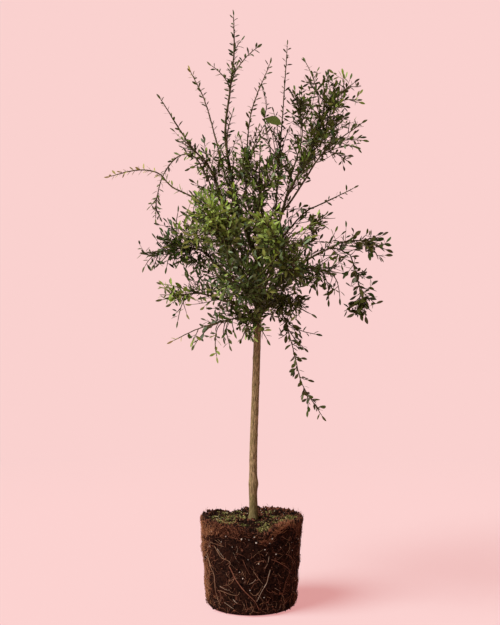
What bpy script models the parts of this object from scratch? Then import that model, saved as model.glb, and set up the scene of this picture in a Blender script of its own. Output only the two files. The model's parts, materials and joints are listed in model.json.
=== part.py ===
"""A small standard tree on its root ball: a clear stem under a loose, open head of wiry shoots.

Metres, +Z up. The origin is the centre of the root ball's flat underside, and the front is -Y.
Each limb, each mass of foliage, the trunk and the root ball is one closed solid and one object.
"""

import math
import random
from collections import namedtuple

import bmesh
import bpy
import numpy as np
from mathutils import Matrix, Vector, noise
from mathutils.bvhtree import BVHTree

GAP = 0.0003  # clearance between pieces that touch
SHARP_ANGLE = math.radians(50)  # edges over this stay sharp

# Root ball: the inside of a nursery pot, with the pot off.
BALL_HEIGHT = 0.235
BALL_TOP_RADIUS = 0.135
BALL_FOOT_RADIUS = 0.119
BALL_FOOT_ROUND = 0.014
BALL_SIDES = 28
SOIL_DIP = 0.005  # how far the soil round the trunk lies below the rim
SOIL_PLATE_RADIUS = 0.026  # level patch that the trunk stands on
BALL_ROUGHNESS = 0.0050
BALL_ROUGH_SCALE = 38.0
BITE_ANGLE = math.radians(-78)  # where the rim has crumbled away
BITE_WIDTH = 0.045
BITE_DEPTH = 0.020

# Trunk: its line from the flat foot to the fork, and the radii that shape it.
TRUNK_LINE = [
    (0.005, 0, BALL_HEIGHT - SOIL_DIP + GAP),
    (0.005, 0, 0.250),
    (0.005, 0, 0.400),
    (0.010, 0.002, 0.550),
    (0.015, 0.002, 0.700),
    (0.018, 0, 0.780),
    (0.016, 0, 0.917),
]
TRUNK_FOOT_RADIUS = 0.0110
TRUNK_FORK_RADIUS = 0.0092
FLARE_RADIUS = 0.0035
FLARE_HEIGHT = 0.016
UNION_HEIGHT = 0.322  # the swelling of the graft
UNION_SWELL = 0.0016
UNION_LENGTH = 0.014

# Limbs and twigs.
TRUNK_SIDES = 10
LIMB_SIDES = 6
STEM_SIDES = 4
TWIG_SIDES = 3
TRUNK_JOINT_SHARE = 0.50  # a bough's root radius, as a share of the trunk's there
LIMB_JOINT_SHARE = 0.75  # the same for a branch on a bough
LEAD = 0.006  # straight run where a stem carries on from a limb's cut tip
STEM_TIP_RADIUS = 0.0010
SHOOT_ROOT_RADIUS = 0.0017
SHOOT_TIP_RADIUS = 0.0009
SHOOT_ANGLE = math.radians(55)
SHOOT_RISE = 0.20  # a shoot's tip is raised by this share of its length
SHOOT_TAPER = 0.55  # how much shorter the last side shoot is than the first
SKIRT_ROOT = 0.745  # share of the trunk's length where the lowest shoot leaves it
GOLDEN_ANGLE = math.radians(137.5)

# Leaves: fewer than the real ones and larger, most of all in the heads. Sizes are shares of a leaf's length.
LEAF_WIDTH = 0.40
LEAF_THICKNESS = 0.05
LEAF_WIDEST = 0.55
LEAF_ANGLE = math.radians(50)
TIP_LEAF = 0.8  # the leaf at a twig's end, as a share of the others
LEAF_SINK = 0.0003  # how far a leaf's root lies past its twig's axis

# A twig or a leaf that leaves its mass's space, or touches another piece, is tried again as (share of its
# length, turn about the wood that bears it), and is left out if none fits.
SHOOT_TRIES = ((1, 0), (0.8, 1.8), (0.6, 3.6), (0.45, 0))
LEAF_TRIES = ((1, 0), (1, 2.1), (0.8, 4.2), (0.65, 0.9))
SPACE_SLACK = 0.030  # how much nearer to another mass's wood than to its own a leaf may lie
TOUCH_GROWTH = 0.0006  # how much a leaf is grown for the test that it touches nothing

Limb = namedtuple("Limb", "name parent at tip bow radius")
Mass = namedtuple("Mass", "name limb via tip reach bushy habit arms")
Habit = namedtuple("Habit", "shoot_gap leaf_gap leaf")  # distances along the wood, and a leaf's length

WHIP = Habit(0.065, 0.038, 0.041)
LIGHT = Habit(0.042, 0.040, 0.052)
DENSE = Habit(0.025, 0.038, 0.068)

# Boughs leave the trunk and branches leave boughs, where `at` is the share of the parent's length, and 1
# carries on from its tip. `bow` raises a limb's middle, as a share of its length, and `radius` is its own at
# its tip.
LIMBS = [
    Limb("bough_leader", "trunk", 1, (-0.034, 0.012, 1.065), -0.03, 0.0040),
    Limb("branch_spear_high_left", "bough_leader", 0.72, (-0.064, 0.030, 1.125), -0.05, 0.0024),
    Limb("bough_upper_right", "trunk", 0.960, (0.092, -0.002, 1.085), -0.12, 0.0036),
    Limb("branch_inner_right", "bough_upper_right", 0.72, (0.104, 0.030, 1.140), -0.06, 0.0022),
    Limb("branch_outer_right", "bough_upper_right", 0.82, (0.134, -0.040, 1.120), -0.03, 0.0024),
    Limb("branch_spear_right", "bough_upper_right", 0.48, (0.068, 0.040, 1.090), -0.08, 0.0022),
    Limb("bough_back_top", "trunk", 0.948, (0.026, 0.074, 1.035), -0.10, 0.0028),
    Limb("bough_upper_left", "trunk", 0.936, (-0.070, -0.040, 1.060), -0.10, 0.0030),
    Limb("branch_arch_left", "bough_upper_left", 0.80, (-0.112, -0.050, 1.125), 0.03, 0.0020),
    Limb("bough_top", "trunk", 0.924, (0.020, -0.048, 1.025), -0.10, 0.0028),
    Limb("branch_centre", "bough_top", 0.60, (-0.014, -0.024, 1.085), -0.06, 0.0022),
    Limb("bough_back_right", "trunk", 0.912, (0.060, 0.078, 0.950), 0.00, 0.0028),
    Limb("bough_front_left", "trunk", 0.900, (-0.038, -0.075, 0.930), 0.00, 0.0028),
    Limb("bough_right_high", "trunk", 0.888, (0.082, 0.022, 0.980), -0.05, 0.0026),
    Limb("branch_right_middle", "bough_right_high", 0.55, (0.096, -0.030, 0.975), 0.00, 0.0018),
    Limb("bough_left_high", "trunk", 0.876, (-0.080, -0.045, 0.985), -0.05, 0.0026),
    Limb("bough_back_left", "trunk", 0.864, (-0.048, 0.078, 0.930), 0.00, 0.0028),
    Limb("bough_front_right", "trunk", 0.852, (0.052, -0.075, 0.885), 0.00, 0.0028),
    Limb("bough_right", "trunk", 0.840, (0.231, -0.020, 0.964), 0.08, 0.0022),
    Limb("branch_arc_right", "bough_right", 0.90, (0.256, -0.034, 0.935), 0.10, 0.0016),
    Limb("branch_skirt_right", "bough_right", 0.36, (0.130, -0.050, 0.900), 0.05, 0.0018),
    Limb("bough_left", "trunk", 0.828, (-0.088, -0.012, 0.905), 0.05, 0.0028),
    Limb("bough_back_low", "trunk", 0.816, (0.032, 0.080, 0.835), 0.05, 0.0026),
    Limb("bough_front_low", "trunk", 0.804, (0.002, -0.072, 0.822), 0.05, 0.0026),
    Limb("bough_low_right", "trunk", 0.792, (0.072, -0.026, 0.815), 0.08, 0.0026),
    Limb("branch_trail_right", "bough_low_right", 0.55, (0.074, -0.062, 0.792), 0.10, 0.0016),
    Limb("bough_low_left", "trunk", 0.780, (-0.070, -0.035, 0.810), 0.08, 0.0024),
    Limb("bough_trail_left", "trunk", 0.762, (-0.044, -0.062, 0.764), 0.10, 0.0018),
]

# Masses of foliage. The stem runs on from its limb's tip, or from the trunk, through `via` to the furthest
# leaf's `tip`. Side shoots are `reach` long at the stem's root and stop at the share `bushy` of its length.
# An arm is (share of the stem, tip).
MASSES = [
    Mass("spear_leader", "bough_leader", [(-0.070, 0.020, 1.250), (-0.061, 0.010, 1.385)],
         (-0.050, 0.000, 1.590), 0.085, 0.40, WHIP,
         [(0.63, (0.022, -0.070, 1.482)), (0.60, (-0.114, 0.000, 1.455)), (0.53, (-0.115, 0.090, 1.435))]),
    Mass("spear_high_left", "branch_spear_high_left", [(-0.122, 0.060, 1.345)],
         (-0.176, 0.100, 1.470), 0.070, 0.30, WHIP, []),
    Mass("spear_left", "bough_upper_left", [(-0.110, -0.065, 1.160), (-0.160, -0.080, 1.215)],
         (-0.240, -0.120, 1.335), 0.090, 0.50, LIGHT, [(0.34, (-0.170, -0.105, 1.150))]),
    Mass("whip_arch_left", "branch_arch_left",
         [(-0.148, -0.050, 1.188), (-0.190, -0.042, 1.194), (-0.232, -0.040, 1.145),
          (-0.250, -0.040, 1.080)],
         (-0.254, -0.040, 1.015), 0.050, 0.25, WHIP, []),
    Mass("whip_left", "bough_left_high",
         [(-0.134, -0.080, 1.066), (-0.205, -0.080, 1.105), (-0.244, -0.080, 1.142),
          (-0.300, -0.080, 1.149)],
         (-0.380, -0.080, 1.130), 0.090, 0.45, WHIP, []),
    Mass("head_left", "bough_left", [(-0.148, -0.015, 0.952)],
         (-0.295, -0.005, 0.940), 0.095, 0.9, LIGHT,
         [(0.48, (-0.200, -0.030, 1.060)), (0.58, (-0.270, -0.030, 1.010)),
          (0.80, (-0.297, 0.000, 0.896))]),
    Mass("head_low_left", "bough_low_left", [(-0.142, -0.070, 0.830)],
         (-0.245, -0.090, 0.810), 0.085, 0.9, LIGHT,
         [(0.50, (-0.200, -0.080, 0.745)), (0.30, (-0.250, -0.040, 0.860))]),
    Mass("trail_left", "bough_trail_left", [(-0.115, -0.090, 0.745), (-0.155, -0.090, 0.730)],
         (-0.215, -0.100, 0.700), 0.070, 0.7, WHIP,
         [(0.25, (-0.160, -0.060, 0.685)), (0.15, (-0.095, -0.070, 0.650))]),
    Mass("skirt_front", "trunk", [(0.004, -0.050, 0.772)],
         (-0.030, -0.140, 0.700), 0.080, 0.9, DENSE, [(0.30, (0.045, -0.105, 0.700))]),
    Mass("head_front_left", "bough_front_left", [],
         (-0.115, -0.225, 1.025), 0.115, 1, DENSE,
         [(0.30, (-0.175, -0.130, 1.050)), (0.25, (-0.025, -0.165, 1.110))]),
    Mass("head_front_low", "bough_front_low", [],
         (-0.070, -0.225, 0.865), 0.115, 1, DENSE, [(0.25, (0.050, -0.200, 0.840))]),
    Mass("head_front_right", "bough_front_right", [],
         (0.105, -0.220, 0.970), 0.115, 1, DENSE,
         [(0.30, (0.020, -0.235, 1.020)), (0.25, (0.120, -0.150, 0.850))]),
    Mass("spear_centre", "branch_centre", [(-0.004, -0.050, 1.290)],
         (0.052, -0.080, 1.438), 0.085, 0.4, WHIP, []),
    Mass("head_top", "bough_top", [],
         (0.022, -0.080, 1.215), 0.110, 1, DENSE, [(0.30, (0.075, -0.130, 1.130))]),
    Mass("head_top_right", "bough_upper_right", [(0.150, -0.010, 1.200), (0.213, -0.010, 1.340)],
         (0.288, -0.020, 1.418), 0.085, 1, LIGHT,
         [(0.60, (0.236, 0.060, 1.444)), (0.70, (0.293, -0.090, 1.338)), (0.55, (0.192, -0.070, 1.406)),
          (0.45, (0.148, 0.070, 1.486))]),
    Mass("head_inner_right", "branch_inner_right", [(0.140, 0.080, 1.278)],
         (0.120, 0.120, 1.420), 0.060, 0.9, LIGHT, []),
    Mass("head_outer_right", "branch_outer_right", [(0.190, -0.065, 1.200)],
         (0.295, -0.100, 1.275), 0.075, 1, LIGHT,
         [(0.55, (0.300, -0.100, 1.225)), (0.40, (0.262, -0.080, 1.172))]),
    Mass("spear_right", "branch_spear_right", [(0.085, 0.070, 1.315)],
         (0.100, 0.080, 1.535), 0.085, 0.5, WHIP, [(0.45, (0.030, 0.050, 1.400))]),
    Mass("head_right_high", "bough_right_high", [(0.146, 0.040, 1.055), (0.204, 0.050, 1.085)],
         (0.292, 0.060, 1.130), 0.095, 0.6, LIGHT, []),
    Mass("head_right_middle", "branch_right_middle", [],
         (0.212, -0.050, 1.042), 0.080, 1, DENSE, []),
    Mass("head_right", "bough_right", [(0.290, -0.020, 0.972)],
         (0.372, -0.030, 0.942), 0.050, 1, WHIP,
         [(0.40, (0.352, 0.000, 0.992)), (0.50, (0.346, -0.040, 0.908))]),
    Mass("arc_right", "branch_arc_right", [(0.274, -0.030, 0.894), (0.290, -0.030, 0.830)],
         (0.306, -0.030, 0.754), 0.045, 0.95, WHIP,
         [(0.55, (0.235, -0.030, 0.775)), (0.45, (0.340, -0.030, 0.790))]),
    Mass("skirt_right", "branch_skirt_right", [],
         (0.250, -0.060, 0.880), 0.080, 0.9, DENSE, [(0.35, (0.210, -0.050, 0.800))]),
    Mass("head_low_right", "bough_low_right", [],
         (0.172, -0.020, 0.770), 0.090, 1, DENSE, [(0.20, (0.120, -0.110, 0.755))]),
    Mass("trail_right", "branch_trail_right",
         [(0.090, -0.080, 0.747), (0.105, -0.090, 0.695), (0.120, -0.090, 0.630), (0.135, -0.090, 0.585)],
         (0.190, -0.090, 0.500), 0.040, 0.3, WHIP,
         [(0.14, (0.145, -0.060, 0.675)), (0.08, (0.180, -0.070, 0.715))]),
    Mass("head_back_left", "bough_back_left", [],
         (-0.130, 0.215, 1.065), 0.115, 1, DENSE,
         [(0.30, (-0.200, 0.130, 0.980)), (0.50, (-0.050, 0.250, 1.100))]),
    Mass("head_back_right", "bough_back_right", [],
         (0.135, 0.215, 1.040), 0.115, 1, DENSE, [(0.25, (0.205, 0.125, 0.985))]),
    Mass("head_back_low", "bough_back_low", [],
         (0.060, 0.225, 0.840), 0.115, 1, DENSE,
         [(0.20, (-0.080, 0.185, 0.860)), (0.25, (0.150, 0.150, 0.860))]),
    Mass("head_back_top", "bough_back_top", [],
         (0.045, 0.140, 1.225), 0.110, 1, DENSE, [(0.30, (-0.060, 0.120, 1.180))]),
]

Finish = namedtuple("Finish", "colour roughness")

BARK = Finish((0.30, 0.20, 0.10), 0.85)
GREEN_BARK = Finish((0.13, 0.12, 0.05), 0.75)
FOLIAGE = Finish((0.055, 0.105, 0.025), 0.5)
SOIL = Finish((0.050, 0.026, 0.014), 0.95)


def clear_scene():
    for obj in list(bpy.data.objects):
        bpy.data.objects.remove(obj)


def new_collection(name, hidden=False):
    collection = bpy.data.collections.new(name)
    bpy.context.scene.collection.children.link(collection)
    collection.hide_render = hidden
    return collection


def add_object(name, mesh, collection):
    obj = bpy.data.objects.new(name, mesh)
    collection.objects.link(obj)
    return obj


def finish_object(obj, finish, smooth=True):
    """Gives the object its own material, and shades a round piece smooth."""
    material = bpy.data.materials.new(obj.name)
    material.use_nodes = True
    surface = material.node_tree.nodes["Principled BSDF"]
    surface.inputs["Base Color"].default_value = (*finish.colour, 1)
    surface.inputs["Roughness"].default_value = finish.roughness
    surface.inputs["Metallic"].default_value = 0
    obj.data.materials.clear()
    obj.data.materials.append(material)
    if smooth:
        obj.data.shade_smooth()
        obj.data.set_sharp_from_angle(angle=SHARP_ANGLE)


def baked_mesh(obj, welded=True):
    """The object's evaluated mesh. A curve's caps and a turned piece's poles are welded."""
    bpy.context.view_layer.update()
    evaluated = obj.evaluated_get(bpy.context.evaluated_depsgraph_get())
    mesh = bpy.data.meshes.new_from_object(evaluated)
    if welded:
        shape = bmesh.new()
        shape.from_mesh(mesh)
        bmesh.ops.remove_doubles(shape, verts=shape.verts, dist=1e-6)
        bmesh.ops.recalc_face_normals(shape, faces=shape.faces)
        shape.to_mesh(mesh)
        shape.free()
    return mesh


def keep_main_body(mesh):
    """Drops loose scraps and sealed hollows: only the largest body of the mesh stays, as triangles."""
    shape = bmesh.new()
    shape.from_mesh(mesh)
    waiting = set(shape.faces)
    bodies = []
    while waiting:
        front = [waiting.pop()]
        body = list(front)
        while front:
            for edge in front.pop().edges:
                for face in edge.link_faces:
                    if face in waiting:
                        waiting.remove(face)
                        front.append(face)
                        body.append(face)
        bodies.append(body)
    bodies.sort(key=lambda body: sum(face.calc_area() for face in body))
    scraps = [face for body in bodies[:-1] for face in body]
    bmesh.ops.delete(shape, geom=scraps, context="FACES")
    loose = [vert for vert in shape.verts if not vert.link_faces]
    bmesh.ops.delete(shape, geom=loose, context="VERTS")
    for method in ("BEAUTY", "EAR_CLIP"):
        triangles = shape.copy()
        bmesh.ops.triangulate(triangles, faces=triangles.faces, ngon_method=method)
        triangles.to_mesh(mesh)
        closed = all(len(edge.link_faces) == 2 for edge in triangles.edges)
        triangles.free()
        if closed:
            break
    shape.free()
    return closed


# Lines


def smooth_line(points, spacing):
    """Points about `spacing` apart on a Catmull-Rom curve through the given ones."""
    points = [Vector(point) for point in points]
    padded = [2 * points[0] - points[1], *points, 2 * points[-1] - points[-2]]
    line = [points[0]]
    for before, here, there, after in zip(padded, padded[1:], padded[2:], padded[3:]):
        steps = max(1, round((there - here).length / spacing))
        for step in range(1, steps + 1):
            t = step / steps
            line.append(0.5 * (
                2 * here + (there - before) * t
                + (2 * before - 5 * here + 4 * there - after) * t**2
                + (3 * here - before - 3 * there + after) * t**3
            ))
    return line


def bent_line(start, direction, tip, spacing):
    """A line that leaves `start` along `direction` and bends over to `tip`."""
    length = (tip - start).length
    knee = start + direction.normalized() * length * 0.45
    steps = max(1, round(length / spacing))
    return [
        start * (1 - t) ** 2 + knee * 2 * t * (1 - t) + tip * t**2
        for t in (step / steps for step in range(steps + 1))
    ]


def line_length(line):
    return sum((b - a).length for a, b in zip(line, line[1:]))


def at_share(line, share):
    """(point, direction) at a share of the line's length."""
    left = share * line_length(line)
    for a, b in zip(line, line[1:]):
        run = (b - a).length
        if left <= run:
            return a.lerp(b, left / run), (b - a).normalized()
        left -= run
    return line[-1].copy(), (line[-1] - line[-2]).normalized()


def tapered(line, root_radius, tip_radius):
    """A radius for each point of the line, falling evenly with the distance run."""
    total = line_length(line)
    run = [0.0]
    for a, b in zip(line, line[1:]):
        run.append(run[-1] + (b - a).length)
    return [root_radius + (tip_radius - root_radius) * r / total for r in run]


# Solids


def tube(line, radii, sides, grown=0.0):
    """A closed tapering tube along a line, from a curve with a round or three-sided bevel."""
    curve = bpy.data.curves.new("line", "CURVE")
    curve.dimensions = "3D"
    curve.use_fill_caps = True
    if sides == 3:
        curve.bevel_mode = "OBJECT"
        curve.bevel_object = three_sided_profile()
    else:
        curve.bevel_depth = 1.0
        curve.bevel_resolution = (sides - 4) // 2
    spline = curve.splines.new("POLY")
    spline.points.add(len(line) - 1)
    for point, place, radius in zip(spline.points, line, radii):
        point.co = (*place, 1)
        point.radius = radius + grown
    guide = add_object("line", curve, bpy.data.collections["helpers"])
    mesh = baked_mesh(guide)
    bpy.data.objects.remove(guide)
    return mesh


def three_sided_profile():
    profile = bpy.data.objects.get("three_sided_profile")
    if profile is None:
        curve = bpy.data.curves.new("three_sided_profile", "CURVE")
        curve.dimensions = "2D"
        spline = curve.splines.new("POLY")
        spline.points.add(2)
        spline.use_cyclic_u = True
        for corner, point in enumerate(spline.points):
            angle = corner * math.tau / 3
            point.co = (math.cos(angle), math.sin(angle), 0, 1)
        profile = bpy.data.objects.new("three_sided_profile", curve)
        profile.hide_render = True
        profile.display_type = "WIRE"
        bpy.data.collections["helpers"].objects.link(profile)
    return profile


def leaf(root, direction, facing, length):
    """A closed blade of eight faces: a four-sided ball drawn out from its root to its tip."""
    shape = bmesh.new()
    bmesh.ops.create_uvsphere(shape, u_segments=4, v_segments=2, radius=1)
    along = direction.normalized()
    across = along.cross(facing).normalized()
    up = along.cross(across)
    for vert in shape.verts:
        x, y, z = vert.co
        share = LEAF_WIDEST if abs(z) < 0.5 else (1.0 if z > 0 else 0.0)
        vert.co = (
            root + along * length * share
            + across * x * length * LEAF_WIDTH / 2
            + up * y * length * LEAF_THICKNESS / 2
        )
    mesh = bpy.data.meshes.new("leaf")
    shape.to_mesh(mesh)
    shape.free()
    return mesh


def boolean(obj, operation, other=None, collection=None, solver="EXACT"):
    """Applies one Boolean to the object's mesh."""
    modifier = obj.modifiers.new(operation.lower(), "BOOLEAN")
    modifier.operation = operation
    modifier.solver = solver
    if collection:
        modifier.operand_type = "COLLECTION"
        modifier.collection = collection
    else:
        modifier.object = other
    mesh = baked_mesh(obj, welded=False)
    obj.modifiers.clear()
    obj.data = mesh


# Trunk and limbs


def trunk_radius(height):
    """The trunk's radius: an even taper, the root flare and the swelling of the graft."""
    foot, fork = TRUNK_LINE[0][2], TRUNK_LINE[-1][2]
    rise = height - foot
    taper = TRUNK_FOOT_RADIUS + (TRUNK_FORK_RADIUS - TRUNK_FOOT_RADIUS) * rise / (fork - foot)
    flare = FLARE_RADIUS * math.exp(-rise / FLARE_HEIGHT)
    swelling = UNION_SWELL * math.exp(-(((height - UNION_HEIGHT) / UNION_LENGTH) ** 2))
    return taper + flare + swelling


def trunk_line():
    """The trunk's axis. It starts straight up, so that its foot is cut level."""
    foot, above, *rest = TRUNK_LINE
    low = [Vector(foot) + Vector((0, 0, rise)) for rise in (0, 0.007)]
    fine = smooth_line([above, *rest], 0.012)
    coarse = fine[:-1:3] + fine[-1:]
    graft = [point for point in fine if abs(point.z - UNION_HEIGHT) < 2 * UNION_LENGTH]
    return low + [point for point in fine if point in coarse or point in graft]


def build_trunk(collection):
    line = trunk_line()
    radii = [trunk_radius(point.z) for point in line]
    trunk = add_object("trunk", tube(line, radii, TRUNK_SIDES), collection)
    finish_object(trunk, BARK)
    return line, radii


def bowed(start, tip, bow):
    """The line of a limb: its middle lies above the straight run, or below it, by a share of its length."""
    middle = (start + tip) / 2 + Vector((0, 0, bow * (tip - start).length))
    return [middle, tip]


def build_limb(limb, grown, collection):
    """One tapering limb, from its parent's axis and cut clear of the parent, or on from the parent's tip."""
    parent_line, parent_radii = grown[limb.parent]
    place, direction = at_share(parent_line, limb.at)
    if limb.at == 1:
        start = place + direction * GAP
        points = [start, start + direction * LEAD]
        root_radius = parent_radii[-1]
    else:
        points = [place]
        nearest = round(limb.at * (len(parent_radii) - 1))
        share = TRUNK_JOINT_SHARE if limb.parent == "trunk" else LIMB_JOINT_SHARE
        root_radius = parent_radii[nearest] * share
    line = smooth_line([*points, *bowed(place, Vector(limb.tip), limb.bow)], 0.04)
    radii = tapered(line, root_radius, limb.radius)
    obj = add_object(limb.name, tube(line, radii, LIMB_SIDES), collection)
    if limb.at < 1:
        cut_clear(obj, limb.parent, grown)
    for other in grown:
        if tree_of(obj.data).overlap(tree_of(bpy.data.objects[other].data)):
            cut_clear(obj, other, grown)
    finish_object(obj, GREEN_BARK if limb.name.startswith("branch") else BARK)
    grown[limb.name] = line, radii


def cut_clear(obj, other, grown):
    """Cuts a piece back to the gap round the trunk or limb that it starts in or passes through."""
    line, radii = grown[other]
    first, last = (line[0] - line[1]).normalized(), (line[-1] - line[-2]).normalized()
    longer = [line[0] + first * GAP, *line, line[-1] + last * GAP]
    sides = TRUNK_SIDES if other == "trunk" else LIMB_SIDES
    swollen = tube(longer, [radii[0], *radii, radii[-1]], sides, GAP / math.cos(math.pi / sides))
    cutter = add_object("cutter", swollen, bpy.data.collections["helpers"])
    cutter.hide_render = True
    cutter.display_type = "WIRE"
    boolean(obj, "DIFFERENCE", other=cutter)
    bpy.data.objects.remove(cutter)
    keep_main_body(obj.data)


# Foliage


class Spaces:
    """Which points a mass may fill: those about as near to its own stem and arms as to any other's."""

    def __init__(self, lines_by_owner):
        runs = [
            (a, b, owner)
            for owner, lines in lines_by_owner.items()
            for line, _ in lines
            for a, b in zip(line, line[1:])
        ]
        self.starts = np.array([a for a, _, _ in runs])
        self.runs = np.array([b - a for a, b, _ in runs])
        self.owners = np.array([owner for _, _, owner in runs])

    def hold(self, owner, points):
        points = np.array(points)[:, None, :]
        along = ((points - self.starts) * self.runs).sum(2) / (self.runs * self.runs).sum(1)
        nearest = self.starts + np.clip(along, 0, 1)[:, :, None] * self.runs
        distance = np.linalg.norm(points - nearest, axis=2)
        mine = distance[:, self.owners == owner].min(1)
        others = distance[:, self.owners != owner].min(1)
        return bool((mine < others + SPACE_SLACK).all())


def mass_lines(mass, grown):
    """The mass's stem, and its arms, as lines with their radii."""
    limb_line, limb_radii = grown[mass.limb]
    if mass.limb == "trunk":
        start, direction = at_share(limb_line, SKIRT_ROOT)
        points = [start, *mass.via]
        root_radius = limb_radii[-1] * TRUNK_JOINT_SHARE * 0.6
    else:
        place, direction = at_share(limb_line, 1)
        start = place + direction * GAP
        points = [start, start + direction * LEAD, *mass.via]
        root_radius = limb_radii[-1]
    tip = short_of(points[-1], mass.tip, mass.habit.leaf)
    stem = smooth_line([*points, tip], 0.045)
    lines = [(stem, tapered(stem, root_radius, STEM_TIP_RADIUS))]
    for share, tip in mass.arms:
        root, heading = at_share(stem, share)
        arm = bent_line(root, heading, short_of(root, tip, mass.habit.leaf), 0.05)
        thickness = root_radius + (STEM_TIP_RADIUS - root_radius) * share
        arm_radius = max(thickness * LIMB_JOINT_SHARE, SHOOT_ROOT_RADIUS)
        lines.append((arm, tapered(arm, arm_radius, STEM_TIP_RADIUS)))
    return lines


def short_of(start, tip, leaf_length):
    """Where the wood stops, so that the leaf at its end reaches the tip."""
    tip = Vector(tip)
    return tip - (tip - Vector(start)).normalized() * TIP_LEAF * leaf_length * 0.85


def turned(direction, angle, turn):
    """`direction` tilted by `angle`, away towards the side that `turn` points to."""
    side = direction.orthogonal().normalized()
    side = Matrix.Rotation(turn, 3, direction) @ side
    return (direction * math.cos(angle) + side * math.sin(angle)).normalized()


def side_shoots(stem, mass, rng):
    """(root, heading, angle, turn, length) of side shoots on the bushy part of the stem. Each is turned on
    by the golden angle and shorter than the last."""
    length = line_length(stem)
    gap = mass.habit.shoot_gap
    turn = rng.uniform(0, math.tau)
    for number in range(int(length * mass.bushy / gap)):
        share = (number + 0.5) * gap / length
        root, heading = at_share(stem, share)
        turn += GOLDEN_ANGLE
        reach = mass.reach * (1 - SHOOT_TAPER * share / mass.bushy) * rng.uniform(0.85, 1.1)
        yield root, heading, SHOOT_ANGLE * rng.uniform(0.8, 1.1), turn, reach


def leaves_along(line, habit, rng):
    """(root, heading, angle, turn, facing, length) of a twig's alternate leaves, and of one at its tip."""
    length = line_length(line)
    turn = rng.uniform(0, math.tau)
    run = habit.leaf_gap * 0.9
    while run < length - 0.35 * habit.leaf_gap:
        root, heading = at_share(line, run / length)
        turn += GOLDEN_ANGLE
        outward = Vector((root.x, root.y, 0)).normalized()
        facing = outward * rng.uniform(0.2, 1) + Vector((0, 0, rng.uniform(0.2, 1)))
        angle = LEAF_ANGLE * rng.uniform(0.8, 1.2)
        yield root, heading, angle, turn, facing, habit.leaf * rng.uniform(0.8, 1.1)
        run += habit.leaf_gap * rng.uniform(0.85, 1.15)
    root, heading = at_share(line, 1)
    size = TIP_LEAF * habit.leaf
    yield root - heading * 0.15 * size, heading, 0, 0, heading.orthogonal(), size


def samples(mesh):
    """The mesh's corners and the middles of its edges."""
    corners = [vert.co.copy() for vert in mesh.vertices]
    middles = [(corners[a] + corners[b]) / 2 for a, b in (edge.vertices for edge in mesh.edges)]
    return corners + middles


def tree_of(mesh, growth=0.0):
    """A search tree of the mesh, grown outwards."""
    centre = sum((vert.co for vert in mesh.vertices), Vector()) / len(mesh.vertices)
    corners = [vert.co + (vert.co - centre).normalized() * growth for vert in mesh.vertices]
    return BVHTree.FromPolygons(corners, [face.vertices[:] for face in mesh.polygons])


def build_mass(mass, lines, spaces, obstacles, obj, arms):
    """One mass: side shoots and leaves grow on its stem and arms, and all is joined into one solid."""
    rng = random.Random(mass.name)
    pieces = new_collection(mass.name + "_pieces", hidden=True)
    stem = lines[0][0]
    placed = [(stem, tree_of(obj.data))]
    others = [tree for owner, tree in obstacles if owner != mass.name]

    def add(kind, mesh, line):
        add_object(kind, mesh, pieces)
        placed.append((line, tree_of(mesh)))

    def fits(mesh, own_line, points, growth=0.0):
        """False if a piece leaves the mass's space, or touches more than the twig that bears it."""
        if not spaces.hold(mass.name, points):
            return False
        swollen = tree_of(mesh, growth)
        if any(swollen.overlap(other) for other in others):
            return False
        return not any(line is not own_line and swollen.overlap(other) for line, other in placed)

    twigs = [stem]
    for (arm, _), mesh in zip(lines[1:], arms):
        add("arm", mesh, arm)
        twigs.append(arm)
    for root, heading, angle, turn, reach in side_shoots(stem, mass, rng):
        for share, spin in SHOOT_TRIES:
            out = turned(heading, angle, turn + spin)
            tip = root + (out + Vector((0, 0, SHOOT_RISE))) * reach * share
            shoot = bent_line(root, out, tip, 0.05)
            mesh = tube(shoot, tapered(shoot, SHOOT_ROOT_RADIUS, SHOOT_TIP_RADIUS), TWIG_SIDES)
            outer = [point for point in samples(mesh) if (point - root).length > 2 * SHOOT_ROOT_RADIUS]
            if fits(mesh, stem, outer):
                add("shoot", mesh, shoot)
                twigs.append(shoot)
                break
    for twig in twigs:
        for root, heading, angle, turn, facing, length in leaves_along(twig, mass.habit, rng):
            for share, spin in LEAF_TRIES:
                out = turned(heading, angle, turn + spin)
                mesh = leaf(root - out * LEAF_SINK, out, facing, length * share)
                if fits(mesh, twig, samples(mesh), TOUCH_GROWTH):
                    add("leaf", mesh, None)
                    break
    join(obj, pieces)
    finish_object(obj, FOLIAGE, smooth=False)
    obstacles.append((mass.name, tree_of(obj.data)))


def join(obj, pieces):
    """Unites the object with all the pieces of a collection, and removes them."""
    bare = obj.data
    for solver in ("EXACT", "MANIFOLD"):
        obj.data = bare
        boolean(obj, "UNION", collection=pieces, solver=solver)
        if keep_main_body(obj.data):
            break
    for piece in list(pieces.objects):
        bpy.data.objects.remove(piece)
    bpy.data.collections.remove(pieces)


# Root ball


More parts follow.
